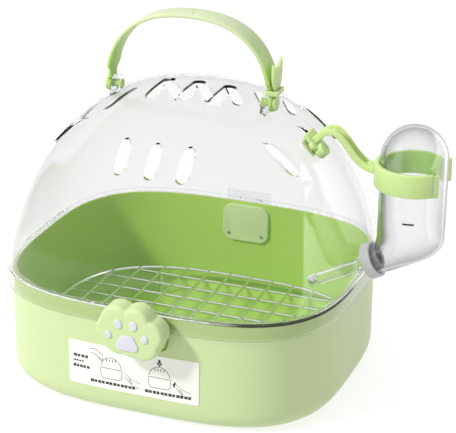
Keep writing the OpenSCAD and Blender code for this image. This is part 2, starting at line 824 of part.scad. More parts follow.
module grid_legs() {
    leg_x = (min(3, across_count) + 0.5) * grid_pitch;
    leg_y = (min(4, along_count) + 0.5) * grid_pitch;
    leg_bottom = tub_floor + rest_gap;
    color(steel)
        for (sx = [-1, 1], sy = [-1, 1])
            translate([sx * leg_x, sy * leg_y, leg_bottom])
                cylinder(h = grid_z - leg_bottom, r = grid_rim_r);
}

// Water bottle: an upright round-ended body with a neck that leans to the port
bottle_x = half_w + bottle_out;
bottle_low_z = port_z + bottle_low_up;
bottle_high_z = bottle_low_z + bottle_straight;
bottle_r = bottle_d / 2;
cap_r = cap_d / 2;
nozzle_r = nozzle_d / 2;
neck_r = cap_r - 1.9;
cap_back = -cap_standoff - cap_len;
cap_front_t = 2.4;
seal_t = 1.4;
neck_end = -cap_standoff - cap_front_t - seal_t;
neck_start_x = port_x - neck_end * cos(nozzle_tilt);
neck_start_z = port_z - neck_end * sin(nozzle_tilt);
heel_x = bottle_x - 0.2;
heel_z = bottle_low_z - 15;
heel_r = 13;
heel_run = norm([heel_x - neck_start_x, heel_z - neck_start_z]);
heel_lean = atan2(heel_z - neck_start_z, heel_x - neck_start_x);
end_steps = 8;
function round_end(r, z, from, to) =
    [for (i = [0 : end_steps]) let (f = from + (to - from) * i / end_steps)
        [i == 0 && abs(from) == 90 || i == end_steps && abs(to) == 90 ? 0 : r * cos(f),
         z + r * sin(f)]];
// Upright body: a rounded foot with a small flat below, a half ball on top
foot_r = 12;
foot_z = bottle_low_z - 9;
module bottle_body(inset) {
    translate([bottle_x, 0, 0])
        rotate_extrude()
            polygon(concat([[0, foot_z - foot_r + inset]],
                [for (p = round_end(foot_r - inset, foot_z, -89.9, 0)) [p[0] + bottle_r - foot_r, p[1]]],
                round_end(bottle_r - inset, bottle_high_z, 0, 90)));
}
// Widening part of the neck, from the cap to the bottle's heel
module bottle_neck(inset) {
    start = 0.6 * neck_r;
    translate([neck_start_x, 0, neck_start_z])
        rotate([0, 90 - heel_lean, 0])
            rotate_extrude()
                polygon(concat([[0, start - inset], [neck_r - inset, start - inset]],
                    round_end(heel_r - inset, heel_run, 0, 90)));
}
module bottle_mouth(inset, extra) {
    depth = 0.95 * neck_r - 2.4 * inset;
    on_nozzle()
        translate([0, 0, neck_end - depth])
            cylinder(h = depth + extra, r = neck_r - inset);
}
module water_bottle() {
    color(clear_tint)
        difference() {
            union() {
                bottle_body(0);
                bottle_neck(0);
                bottle_mouth(0, 0);
            }
            bottle_body(bottle_wall);
            bottle_neck(bottle_wall);
            bottle_mouth(bottle_wall, 1);
        }
}
module bottle_cap() {
    color(pad_grey)
        on_nozzle()
            difference() {
                translate([0, 0, cap_back])
                    cylinder(h = cap_len, r = cap_r);
                translate([0, 0, cap_back - 1])
                    cylinder(h = cap_len - cap_front_t + 1, r = neck_r + run_gap);
                translate([0, 0, cap_back])
                    cylinder(h = 2 * cap_len, r = nozzle_r + 0.01);
            }
}
seal_sleeve = 6;
module cap_seal() {
    color(dark_rubber)
        on_nozzle()
            difference() {
                union() {
                    translate([0, 0, neck_end])
                        cylinder(h = seal_t, r = neck_r);
                    translate([0, 0, neck_end - seal_sleeve])
                        cylinder(h = seal_sleeve + seal_t / 2, r = nozzle_r + 2.2);
                }
                translate([0, 0, neck_end - seal_sleeve - 1])
                    cylinder(h = seal_sleeve + 4, r = nozzle_r + 0.01);
            }
}
// Nozzle tube, necked in at its tip so that the ball stays in
lip_bore_r = ball_d / 2 - 0.7;
lip_t = 1.2;
ball_r = ball_d / 2;
bore_r = nozzle_r - nozzle_wall;
ball_travel = 1;
// Place of the ball at rest: on the lip, where its skin touches the lip's edge
ball_at = nozzle_reach - lip_t - sqrt(ball_r * ball_r - lip_bore_r * lip_bore_r) - eps;
module nozzle_tube() {
    back = neck_end - seal_sleeve;
    seat_at = ball_at - ball_r - ball_travel - run_gap;
    color(clear_tint)
        on_nozzle()
            rotate_extrude()
                polygon([[lip_bore_r, back], [nozzle_r, back], [nozzle_r, nozzle_reach - 1],
                    [nozzle_r - 1, nozzle_reach], [lip_bore_r, nozzle_reach],
                    [lip_bore_r, nozzle_reach - lip_t], [bore_r, nozzle_reach - lip_t],
                    [bore_r, seat_at], [lip_bore_r, seat_at]]);
}
module drinking_ball() {
    color(steel)
        on_nozzle()
            translate([0, 0, ball_at])
                sphere(ball_r);
}

// Bracket: a spring ring round the bottle on an arm that clips into the dome's side slot
ring_z = bottle_low_z + ring_up;
ring_in_r = bottle_r + rest_gap;
ring_out_r = ring_in_r + ring_t;
clip_x = dome_side_x(vent_mid_z);
clip_z = vent_mid_z;
clip_lean = atan((dome_z(clip_x - 1, 0) - dome_z(clip_x + 1, 0)) / 2);
arm_start = [clip_x + 0.5, clip_z + 2];
arm_end = [bottle_x - ring_out_r + ring_t / 3, ring_z + ring_h / 2];
arm_rise = 26;
arm_steps = 20;
function arm_point(t) =
    let (p1 = arm_start + [19, arm_rise], p2 = arm_end - [21, 0])
    pow(1 - t, 3) * arm_start + 3 * pow(1 - t, 2) * t * p1
    + 3 * (1 - t) * t * t * p2 + t * t * t * arm_end;
function arm_side(t, off) =
    let (d = arm_point(min(t + 0.01, 1)) - arm_point(max(t - 0.01, 0)))
    arm_point(t) + off * [-d[1], d[0]] / norm(d);
module arm_profile(from, to, low, high) {
    polygon(concat(
        [for (i = [0 : arm_steps]) arm_side(from + (to - from) * i / arm_steps, low)],
        [for (i = [arm_steps : -1 : 0]) arm_side(from + (to - from) * i / arm_steps, high)]));
}
module on_clip() {
    translate([clip_x, 0, clip_z])
        rotate([0, clip_lean, 0])
            children();
}
module plate(length, width, low, thick) {
    translate([-length / 2, -width / 2, low])
        cube([length, width, thick]);
}
module bottle_bracket() {
    seat = 0.25;
    plate_t = 2.4;
    stem_w = vent_w - 1.4;
    groove_w = arm_w - 3.6;
    groove_depth = arm_t / 2;
    lip_r = ring_t / 2 + 0.6;
    boss_r = 4.6;
    boss_h = 6.5;
    color(leaf_green)
        difference() {
            union() {
                difference() {
                    translate([bottle_x, 0, ring_z])
                        cylinder(h = ring_h, r = ring_out_r);
                    translate([bottle_x, 0, ring_z])
                        linear_extrude(ring_h)
                            polygon([[0, 0], [2 * ring_out_r, 2 * ring_out_r * tan(ring_open)],
                                [2 * ring_out_r, -2 * ring_out_r * tan(ring_open)]]);
                }
                for (side = [-1, 1])
                    translate([bottle_x + (ring_in_r + lip_r) * cos(ring_open),
                            side * (ring_in_r + lip_r) * sin(ring_open), ring_z])
                        cylinder(h = ring_h, r = lip_r);
                rotate([90, 0, 0])
                    linear_extrude(arm_w, center = true)
                        arm_profile(0, 1, -arm_t / 2, arm_t / 2);
                on_clip() {
                    plate(17, 16, seat, plate_t);
                    plate(11, stem_w, -dome_wall - 2.6, dome_wall + 2.6 + seat + plate_t / 2);
                    plate(12, 14, -dome_wall - 2.6, 2);
                    translate([6.5, -5.5, seat])
                        cylinder(h = boss_h, r = boss_r);
                    translate([0.5, -8.5, seat])
                        cylinder(h = boss_h - 3, r = boss_r - 1.6);
                }
            }
            translate([bottle_x, 0, ring_z - 1])
                cylinder(h = ring_h + 2, r = ring_in_r);
            rotate([90, 0, 0])
                linear_extrude(groove_w, center = true)
                    arm_profile(0.2, 0.86, arm_t / 2 - groove_depth, arm_t);
        }
}

tub();
front_label();
latch_base();
latch_pin();
latch_arm();
paw_cover();
paw_toe_pads();
paw_heel_pad();
hinge_bracket();
hinge_backing_plate();
hinge_screws();
hinge_pin();
dome_hinge_leaf();
dome();
dome_catch();
strap_lug_left();
strap_lug_right();
strap_button_left();
strap_button_right();
carry_strap();
strap_keeper();
strap_tail();
floor_grid();
grid_legs();
bottle_bracket();
water_bottle();
bottle_cap();
cap_seal();
nozzle_tube();
drinking_ball();
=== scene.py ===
import math

import bmesh
import bpy
from mathutils import Matrix, Vector


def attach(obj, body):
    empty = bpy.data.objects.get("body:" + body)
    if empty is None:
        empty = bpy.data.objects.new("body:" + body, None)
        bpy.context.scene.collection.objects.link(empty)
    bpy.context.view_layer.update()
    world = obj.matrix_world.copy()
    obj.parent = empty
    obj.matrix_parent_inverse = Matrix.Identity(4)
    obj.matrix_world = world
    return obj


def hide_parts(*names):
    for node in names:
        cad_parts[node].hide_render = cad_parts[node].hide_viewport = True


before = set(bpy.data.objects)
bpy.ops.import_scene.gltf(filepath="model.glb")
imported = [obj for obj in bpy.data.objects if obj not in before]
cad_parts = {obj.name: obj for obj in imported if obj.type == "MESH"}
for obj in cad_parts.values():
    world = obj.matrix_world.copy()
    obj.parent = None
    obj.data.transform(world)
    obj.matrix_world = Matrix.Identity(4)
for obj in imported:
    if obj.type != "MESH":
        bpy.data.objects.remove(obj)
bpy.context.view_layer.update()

MM = 0.001
ACROSS, DEEP, UP = Vector((1, 0, 0)), Vector((0, 1, 0)), Vector((0, 0, 1))


# Sizes from the part's source, in millimetres

HALF_W, HALF_D, RIM_Z, TOP_Z = 120.0, 106.0, 79.0, 201.0
PLAN_N, SHOULDER, FULLNESS = 3.3, 2.8, 1.68
TUB_IN, TUB_WALL, TUB_FLOOR, FOOT_R = 2.8, 2.6, 3.0, 14.0
DOME_WALL, SKIRT_Z = 2.0, 69.0
LEDGE_LOW, LEDGE_TOP = RIM_Z + 0.3, RIM_Z + 2.3
FLAT_SHARE = math.cos(math.radians(3.75)) ** (2 / PLAN_N)
TUB_FACE = (HALF_D - TUB_IN) * FLAT_SHARE
PORT, PORT_R = Vector((119.184, 0, 90.5)), 5.5
NOZZLE_TILT = math.radians(28)
NOZZLE_AXIS = Vector((-math.cos(NOZZLE_TILT), 0, -math.sin(NOZZLE_TILT)))
BOTTLE_X, BOTTLE_R, BOTTLE_LOW, BOTTLE_HIGH = 152.2, 22.3, 126.0, 170.5
RING_IN, RING_OUT, RING_Z, RING_H = 22.6, 25.8, 152.0, 15.5
STRAP_Y, STRAP_Z, STRAP_HALF, STRAP_RISE = -8.0, 198.456, 57.4, 54.0


# Shader maths

class Sum:
    """A node's output that can stand in a Python expression."""

    def __init__(self, graph, socket):
        self.graph = graph
        self.socket = socket

    def __add__(self, other):
        return self.graph.maths("ADD", self, other)

    def __radd__(self, other):
        return self.graph.maths("ADD", other, self)

    def __sub__(self, other):
        return self.graph.maths("SUBTRACT", self, other)

    def __rsub__(self, other):
        return self.graph.maths("SUBTRACT", other, self)

    def __mul__(self, other):
        return self.graph.maths("MULTIPLY", self, other)

    def __truediv__(self, other):
        return self.graph.maths("DIVIDE", self, other)

    def __pow__(self, other):
        return self.graph.maths("POWER", self, other)


class Graph:
    """A node tree that is built node by node."""

    def __init__(self, tree, output):
        self.tree = tree
        self.tree.nodes.clear()
        self.output = self.tree.nodes.new(output)

    def show(self, surface):
        self.give(self.output.inputs["Surface"], surface)

    def give(self, target, value):
        if isinstance(value, Sum):
            self.tree.links.new(value.socket, target)
        elif hasattr(value, "is_output"):
            self.tree.links.new(value, target)
        elif isinstance(value, tuple) and len(value) == 3 and target.type == "RGBA":
            target.default_value = (*value, 1.0)
        else:
            target.default_value = value

    def node(self, kind, *values, out=0, operation=None, **named):
        """Adds a node and fills its inputs, in their order or by name."""
        made = self.tree.nodes.new("ShaderNode" + kind)
        if operation:
            made.operation = operation
        for target, value in zip(made.inputs, values):
            self.give(target, value)
        for key, value in named.items():
            self.give(made.inputs[key.replace("_", " ")], value)
        return Sum(self, made.outputs[out])

    def maths(self, operation, *values):
        return self.node("Math", *values, operation=operation)

    def place(self):
        return self.node("TexCoord", out="Object")

    def axes(self):
        split = self.tree.nodes.new("ShaderNodeSeparateXYZ")
        self.give(split.inputs[0], self.place())
        return [Sum(self, socket) for socket in split.outputs]

    def noise(self, scale, detail, roughness, where=None):
        return self.node("TexNoise", out="Fac", Vector=where or self.place(),
                         Scale=scale, Detail=detail, Roughness=roughness)

    def blend(self, share, first, second):
        mixed = self.tree.nodes.new("ShaderNodeMix")
        mixed.data_type = "RGBA"
        self.give(mixed.inputs[0], share)
        self.give(mixed.inputs[6], first)
        self.give(mixed.inputs[7], second)
        return Sum(self, mixed.outputs[2])

    def ramp(self, value, start, end, unit=MM):
        """0 at the start and 1 at the end, which are in millimetres unless a unit is given."""
        return self.node("MapRange", Value=value, From_Min=start * unit, From_Max=end * unit)

    def bump(self, height, strength, distance):
        return self.node("Bump", out="Normal", Strength=strength, Distance=distance, Height=height)

    def rays(self, *kinds):
        """1 for a ray of one of these kinds, 0 for any other."""
        ray = self.tree.nodes.new("ShaderNodeLightPath").outputs
        share = Sum(self, ray[f"Is {kinds[0]} Ray"])
        for kind in kinds[1:]:
            share = self.maths("MAXIMUM", share, ray[f"Is {kind} Ray"])
        return share


class Finish(Graph):
    """One material, built round a Principled shader."""

    def __init__(self, name, **settings):
        self.material = bpy.data.materials.new(name)
        self.material.use_nodes = True
        super().__init__(self.material.node_tree, "ShaderNodeOutputMaterial")
        self.shader = self.tree.nodes.new("ShaderNodeBsdfPrincipled")
        self.show(self.shader.outputs[0])
        self.set(**settings)

    def set(self, **settings):
        for key, value in settings.items():
            self.give(self.shader.inputs[key.replace("_", " ")], value)

    def tint(self, share, colour):
        """Blends the base colour into another one by a share."""
        plain = self.shader.inputs["Base Color"].links[0].from_socket
        self.set(Base_Color=self.blend(share, plain, colour))


# Materials

WHITE = (1.0, 1.0, 1.0)
LEDGE_SHADE = (0.003, 0.004, 0.002)
MOTTLE = 0.03
SHELL_LOOK = {"roughness": 0.36, "grain": 0.2, "coat": 0.15}
MILKY_LOOK = {"roughness": 0.4, "grain": 0.25, "coat": 0.1, "milky": 0.4}


def linear(red, green, blue):
    """A colour written as screen values from 0 to 255."""
    return tuple(((v / 255 + 0.055) / 1.055) ** 2.4 if v > 10 else v / 255 / 12.92
                 for v in (red, green, blue))


def shade(colour, factor):
    return tuple(min(1.0, c * factor) for c in colour)


def moulded(name, colour, roughness, grain, coat=0.0, milky=0.0):
    """Injection-moulded plastic: faint flow mottling, fine orange peel, slightly uneven gloss."""
    finish = Finish(name, IOR=1.35)
    flow = finish.noise(14.0, 3.0, 0.55)
    speck = finish.noise(900.0, 1.0, 0.4)
    peel = finish.noise(420.0, 2.0, 0.5)
    tone = flow * 0.8 + speck * 0.2
    finish.set(Base_Color=finish.blend(tone, shade(colour, 1 - MOTTLE), shade(colour, 1 + MOTTLE)),
               Roughness=roughness - 0.05 + flow * 0.1,
               Normal=finish.bump(peel, grain, 0.00004),
               Coat_Weight=coat, Coat_Roughness=0.08, Subsurface_Weight=milky,
               Subsurface_Radius=(1.0, 1.0, 0.35), Subsurface_Scale=0.006)
    return finish


def plan_reach(finish, x, y, half_w, half_d):
    """1 on a rounded rectangle with these half sizes, less inside it."""
    across = finish.maths("ABSOLUTE", x) / (half_w * MM)
    along = finish.maths("ABSOLUTE", y) / (half_d * MM)
    return across ** PLAN_N + along ** PLAN_N


def tub_plastic(name, outside, inside):
    """Moulded green, with painted shade: a deeper green on the tub's inner faces and on the wall under
    the dome's skirt.
    """
    finish = moulded(name, outside, **SHELL_LOOK)
    x, y, z = finish.axes()
    mid_wall, foot = TUB_IN + 1.4, FOOT_R * MM
    mid_w, mid_d = HALF_W - mid_wall, HALF_D - mid_wall
    reach = plan_reach(finish, x, y, mid_w, mid_d) ** (1 / PLAN_N) * (mid_w * MM)
    down = finish.ramp(z, FOOT_R, 0.0)
    drawn_in_by = foot - (1 - down * down) ** 0.5 * foot
    within = finish.ramp(reach + drawn_in_by, mid_w, mid_w - 0.6)
    above_rest = finish.ramp(z, 1.2, 2.4)
    skirt_shade = finish.ramp(z, SKIRT_Z - 0.6, SKIRT_Z + 0.4) * 0.45
    # Painted shade: the shaded green on the inner faces above the floor, and at a 0.45 share on the wall
    # under the dome's skirt.
    in_shade = finish.maths("MAXIMUM", within * above_rest, skirt_shade)
    finish.set(Base_Color=finish.blend(in_shade, outside, inside))
    return finish


def strap_plastic(name, pale, in_shade):
    """Soft milky green with painted shade: pale over its crown and darker towards its ends, lower down.
    """
    finish = moulded(name, pale, **MILKY_LOOK)
    z = finish.axes()[2]
    # Painted shade: the green darkens from 249 mm down to 216 mm.
    finish.tint(finish.ramp(z, 249, 216), in_shade)
    return finish


def bracket_plastic(name, outside, inside):
    """Milky green, with painted shade: a deeper green on the spring ring's inner face, which hugs the
    bottle.
    """
    finish = moulded(name, outside, **MILKY_LOOK)
    x, y, _ = finish.axes()
    off = x - BOTTLE_X * MM
    # Painted shade on the ring's inner face, just inside its bore.
    within = finish.ramp(off * off + y * y, (RING_IN + 0.5) ** 2, (RING_IN + 0.2) ** 2, MM ** 2)
    finish.tint(within, inside)
    return finish


def clear(name, body, edge, haze, thin_light, steep, bending=1.12, gloss=0.5):
    """Clear plastic with a real wall: its colour is painted towards an edge colour where it is seen edge
    on, mostly a painted shade that darkens it, and it lets lamplight through.
    """
    finish = Finish(name, Transmission_Weight=1.0, IOR=bending)
    facing = finish.node("LayerWeight", out="Facing", Blend=0.5)
    ripple = finish.noise(30.0, 2.0, 0.5)
    wave = finish.noise(60.0, 1.0, 0.4)
    # Painted light: the colour turns from body to edge as the wall is seen more edge on; a darker edge
    # is painted shade, a white one a painted highlight.
    finish.set(Base_Color=finish.blend(facing ** steep, body, edge),
               Roughness=haze + ripple * 0.012,
               Normal=finish.bump(wave, 0.05, 0.0001), Coat_Weight=gloss)
    through = finish.node("BsdfTransparent", Color=(thin_light,) * 3)
    passing = finish.rays("Shadow", "Diffuse")
    finish.show(finish.node("MixShader", passing, finish.shader.outputs[0], through))
    return finish


def dome_plastic(name, **settings):
    """Clear plastic with a painted dark line at the front right, a painted shade for the dark edge that
    its ledge throws up.
    """
    finish = clear(name, **settings)
    x, y, z = finish.axes()
    outer = finish.ramp(plan_reach(finish, x, y, HALF_W, HALF_D), 0.97, 0.985, 1)
    strip = (finish.ramp(z, LEDGE_LOW, LEDGE_LOW + 0.3)
             * finish.ramp(z, LEDGE_TOP + 0.8, LEDGE_TOP + 0.4))
    front_right = finish.ramp(x, 20, 70) * finish.ramp(y, -8, -20)
    # Painted shade: a near-black strip on the outer face along the ledge at the front right.
    finish.tint(outer * strip * front_right, LEDGE_SHADE)
    return finish


def turned_metal(name, colour, roughness, brushing):
    finish = Finish(name, Metallic=1.0)
    x, y, z = finish.axes()
    stretched = finish.node("CombineXYZ", x * 3.0, y * 3.0, z * 0.5)
    streak = finish.noise(700.0, 2.0, 0.6, stretched)
    smudge = finish.noise(60.0, 2.0, 0.5)
    finish.set(Base_Color=finish.blend(smudge, shade(colour, 0.93), shade(colour, 1.04)),
               Roughness=roughness + streak * brushing + smudge * 0.04,
               Normal=finish.bump(streak, 0.08, 0.00003))
    return finish


def sticker(name, colour, painted_glow=0.0):
    """Coated paper; a glow is painted on as light that keeps it pale in shade."""
    finish = Finish(name, IOR=1.45)
    fibre = finish.noise(1600.0, 2.0, 0.6)
    cloud = finish.noise(40.0, 2.0, 0.5)
    # The emission is painted light: a glow that keeps the paper pale in shade.
    finish.set(Base_Color=finish.blend(fibre * 0.5 + cloud * 0.5, shade(colour, 0.97), colour),
               Roughness=0.34 + cloud * 0.1, Normal=finish.bump(fibre, 0.1, 0.00002),
               Emission_Color=colour, Emission_Strength=painted_glow)
    return finish


def soft_rubber(name, colour):
    finish = Finish(name, IOR=1.5)
    dust = finish.noise(160.0, 3.0, 0.6)
    grain = finish.noise(1300.0, 2.0, 0.5)
    finish.set(Base_Color=finish.blend(dust, colour, shade(colour, 1.7)),
               Roughness=0.5 + dust * 0.2, Normal=finish.bump(grain, 0.15, 0.00003))
    return finish


LEAF = linear(208, 225, 168)
# Painted shade: the tub's green as it looks in shade, for its inner faces and under the skirt.
SHADED_LEAF = linear(186, 224, 102)
FITTING = linear(202, 226, 154)
GREEN_SHELL = moulded("green_shell_plastic", LEAF, **SHELL_LOOK)
TUB_GREEN = tub_plastic("tub_plastic", LEAF, SHADED_LEAF)
GREEN_FITTING = moulded("green_fitting_plastic", FITTING, **MILKY_LOOK)
# Strap: pale green on the crown, and a darker green painted as shade towards its ends.
STRAP_GREEN = strap_plastic("strap_plastic", linear(206, 219, 178), linear(180, 214, 124))
# Bracket: its second green is painted shade on the ring's inner face.
BRACKET_GREEN = bracket_plastic("bracket_plastic", FITTING, linear(178, 224, 112))
PALE_PLATE = moulded("plate_plastic", linear(218, 236, 180), roughness=0.4, grain=0.25, coat=0.1)
PAW_GREEN = moulded("paw_plastic", linear(208, 228, 168), roughness=0.45, grain=0.3)
PAD_GREY = moulded("pad_plastic", linear(222, 222, 230), roughness=0.55, grain=0.4)
CAP_WHITE = moulded("cap_plastic", linear(206, 207, 209), roughness=0.42, grain=0.3)
# The clear finishes' edge colours are painted: darker ones as shade seen edge on, the nozzle's white one
# as a highlight.
CLEAR_DOME = dome_plastic("clear_dome_plastic", body=(0.89, 0.89, 0.895), edge=(0.76, 0.77, 0.78),
                          haze=0.004, thin_light=0.9, steep=7.0)
CLEAR_LUG = clear("clear_lug_plastic", body=(0.93, 0.93, 0.935), edge=(0.7, 0.71, 0.72),
                  haze=0.01, thin_light=0.92, steep=6.0, bending=1.1)
CLEAR_BOTTLE = clear("clear_bottle_plastic", body=(0.88, 0.88, 0.885), edge=(0.06, 0.065, 0.07),
                     haze=0.004, thin_light=0.97, steep=1.7, bending=1.38, gloss=0.0)
CLEAR_NOZZLE = clear("clear_nozzle_plastic", body=(0.97, 0.97, 0.97), edge=WHITE,
                     haze=0.01, thin_light=0.95, steep=2.0, bending=1.42, gloss=0.3)
# The paper's glow is painted light against the shadow on the label.
PAPER = sticker("label_paper", linear(230, 231, 224), painted_glow=0.22)
INK = sticker("label_ink", linear(52, 54, 52))
PLATED = turned_metal("plated_wire", linear(236, 238, 240), roughness=0.14, brushing=0.05)
STEEL = turned_metal("turned_steel", linear(214, 216, 220), roughness=0.12, brushing=0.04)
SEAL = soft_rubber("seal_rubber", linear(140, 141, 143))


# Outlines

def signed_power(value, power):
    return math.copysign(abs(value) ** power, value)


def turns(count, shift=0.0):
    """Angles of a whole turn in even steps."""
    return [2 * math.pi * (k + shift) / count for k in range(count)]


def quarter(steps):
    """Cosine and sine of 0 to 90 degrees in even steps."""
    angles = [math.pi / 2 * i / steps for i in range(steps + 1)]
    return [(math.cos(f), math.sin(f)) for f in angles]


def outline(a, b, n, z, count):
    """A ring of points round a rounded rectangle, in millimetres."""
    return [Vector((a * signed_power(math.cos(f), 2 / n), b * signed_power(math.sin(f), 2 / n), z))
            for f in turns(count, 0.5)]


def narrowing(share):
    return math.cos(math.pi / 2 * share) ** (2 / SHOULDER)


def dome_ring(share, inset, count):
    k = narrowing(share)
    height = RIM_Z + (TOP_Z - inset - RIM_Z) * math.sin(math.pi / 2 * share) ** (2 / FULLNESS)
    return outline((HALF_W - inset) * k, (HALF_D - inset) * k,
                   PLAN_N * (1 - share) + 2 * share, height, count)


def share_at(z):
    return math.asin(((z - RIM_Z) / (TOP_Z - RIM_Z)) ** (FULLNESS / 2)) / (math.pi / 2)


# Modelling helpers

MOULD_EDGE = 35


def clear_selection():
    bpy.ops.object.select_all(action="DESELECT")


def choose(piece):
    clear_selection()
    piece.select_set(True)
    bpy.context.view_layer.objects.active = piece


def edit(piece):
    choose(piece)
    bpy.ops.object.mode_set(mode="EDIT")
    bpy.ops.mesh.select_all(action="SELECT")


def face_outward():
    """Turns all faces outward and ends the edit."""
    bpy.ops.mesh.select_all(action="SELECT")
    bpy.ops.mesh.normals_make_consistent(inside=False)
    bpy.ops.object.mode_set(mode="OBJECT")


def added(name, data):
    thing = bpy.data.objects.new(name, data)
    bpy.context.scene.collection.objects.link(thing)
    return thing


def loft(name, rings, ends="poles"):
    """A circle is extruded from ring to ring; its ends are drawn together, filled or joined."""
    count = len(rings[0])
    clear_selection()
    bpy.ops.mesh.primitive_circle_add(vertices=count, radius=1.0)
    piece = bpy.context.object
    piece.name = name
    bpy.ops.object.mode_set(mode="EDIT")
    bpy.ops.mesh.select_mode(type="VERT")
    work = bmesh.from_edit_mesh(piece.data)
    order = work.verts.layers.int.new("order")
    work.verts.ensure_lookup_table()
    for k, vert in enumerate(work.verts):
        vert[order] = k
        vert.co = rings[0][k] * MM
    bmesh.update_edit_mesh(piece.data)
    for ring in rings[1:]:
        bpy.ops.mesh.extrude_edges_move()
        work = bmesh.from_edit_mesh(piece.data)
        order = work.verts.layers.int["order"]
        for vert in work.verts:
            if vert.select:
                vert.co = ring[vert[order]] * MM
        bmesh.update_edit_mesh(piece.data)
    if ends == "joined":
        join_ends(piece, count)
    else:
        close_end(ends)
        select_first(piece, count)
        close_end(ends)
    face_outward()
    return piece


def close_end(ends):
    """Draws the selected ring together in a pole, or fills it flat."""
    if ends == "poles":
        bpy.ops.mesh.extrude_edges_move()
        bpy.ops.mesh.merge(type="CENTER")
    else:
        bpy.ops.mesh.edge_face_add()


def select_first(piece, count):
    bpy.ops.mesh.select_all(action="DESELECT")
    work = bmesh.from_edit_mesh(piece.data)
    work.verts.ensure_lookup_table()
    for vert in work.verts[:count]:
        vert.select = True
    work.select_flush_mode()
    bmesh.update_edit_mesh(piece.data)


def join_ends(piece, count):
    work = bmesh.from_edit_mesh(piece.data)
    work.verts.ensure_lookup_table()
    order = work.verts.layers.int["order"]
    last = {v[order]: v for v in work.verts if v.select}
    first = {v[order]: v for v in work.verts[:count]}
    for k in range(count):
        j = (k + 1) % count
        work.faces.new((last[k], last[j], first[j], first[k]))
    bmesh.update_edit_mesh(piece.data)


def smooth(piece, angle):
    choose(piece)
    bpy.ops.object.shade_smooth_by_angle(angle=math.radians(angle), keep_sharp_edges=True)


def apply_modifier(piece, kind, **settings):
    modifier = piece.modifiers.new(kind.lower(), kind)
    for key, value in settings.items():
        setattr(modifier, key, value)
    choose(piece)
    bpy.ops.object.modifier_apply(modifier=modifier.name)


def carve(piece, cutter, operation="DIFFERENCE"):
    apply_modifier(piece, "BOOLEAN", operation=operation, object=cutter, solver="EXACT")
    bpy.data.objects.remove(cutter)


def joined(name, pieces):
    clear_selection()
    for piece in pieces:
        piece.select_set(True)
    bpy.context.view_layer.objects.active = pieces[0]
    bpy.ops.object.join()
    pieces[0].name = name
    return pieces[0]


def rounded(piece, width, segments=3):
    apply_modifier(piece, "BEVEL", width=width * MM, segments=segments, limit_method="ANGLE",
                   angle_limit=math.radians(MOULD_EDGE), use_clamp_overlap=True)


def settle(piece):
    """The piece's place goes into its mesh."""
    choose(piece)
    bpy.ops.object.transform_apply(location=True, rotation=True, scale=True)


def box(name, low, high):
    clear_selection()
    bpy.ops.mesh.primitive_cube_add(size=1.0)
    piece = bpy.context.object
    piece.name = name
    low, high = Vector(low) * MM, Vector(high) * MM
    piece.location = (low + high) / 2
    piece.scale = high - low
    settle(piece)
    return piece


def rod(name, start, end, radius, sides):
    start, end = Vector(start) * MM, Vector(end) * MM
    clear_selection()
    bpy.ops.mesh.primitive_cone_add(vertices=sides, radius1=radius * MM, radius2=radius * MM,
                                    depth=(end - start).length)
    piece = bpy.context.object
    piece.name = name
    piece.rotation_euler = (end - start).to_track_quat("Z", "Y").to_euler()
    piece.location = (start + end) / 2
    settle(piece)
    return piece


def finished(piece, body, slot, finish, *nodes):
    """Gives a piece its finish and body, and hides the CAD nodes that it stands for."""
    piece.data.materials.clear()
    piece.data.materials.append(finish.material)
    if nodes:
        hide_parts(*nodes)
    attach(piece, body)


def softened(node, body, slot, finish, width):
    """A copy of a CAD node with its edges rounded as the mould leaves them."""
    piece = added("fine_" + node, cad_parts[node].data.copy())
    edit(piece)
    bpy.ops.mesh.remove_doubles(threshold=0.000002)
    bpy.ops.mesh.dissolve_limited(angle_limit=math.radians(1.0))
    face_outward()
    if width:
        rounded(piece, width)
    smooth(piece, MOULD_EDGE)
    finished(piece, body, slot, finish, node)


# Tub

LATCH_X, PIVOT_Z = 2.0, 61.0
POCKET_FADE, POCKET_DEPTH, POCKET_N = 12.0, 3.2, 4.0
POCKET_HALF_W, POCKET_HALF_H, POCKET_OFF = 18.0, 12.0, 3.0
POCKET_TILT = math.atan(POCKET_DEPTH / (SKIRT_Z - POCKET_FADE))
POCKET_TOP = (SKIRT_Z - 0.4 - POCKET_FADE) / math.cos(POCKET_TILT)
POCKET_LOW = (PIVOT_Z - 8.0 - POCKET_FADE) / math.cos(POCKET_TILT)


def tub_ring(inset, z):
    return outline(HALF_W - TUB_IN - inset, HALF_D - TUB_IN - inset, PLAN_N, z, 160)


def on_pocket(x, up, out):
    """A point on the leaning floor of the latch pocket: across, up the floor and out of it."""
    s, c = math.sin(POCKET_TILT), math.cos(POCKET_TILT)
    return Vector((x, -TUB_FACE + up * s - out * c, POCKET_FADE + up * c + out * s))


def pocket_block(name, grow, low, high):
    """A block with the pocket's outline, from one depth to another."""
    points = outline(POCKET_HALF_W + grow, POCKET_HALF_H + grow, POCKET_N, 0, 96)
    edge = [(LATCH_X + POCKET_OFF + p.x, min(POCKET_LOW + POCKET_HALF_H + p.y, POCKET_TOP + grow))
            for p in points]
    return loft(name, [[on_pocket(x, up, out) for x, up in edge] for out in (low, high)], "flat")


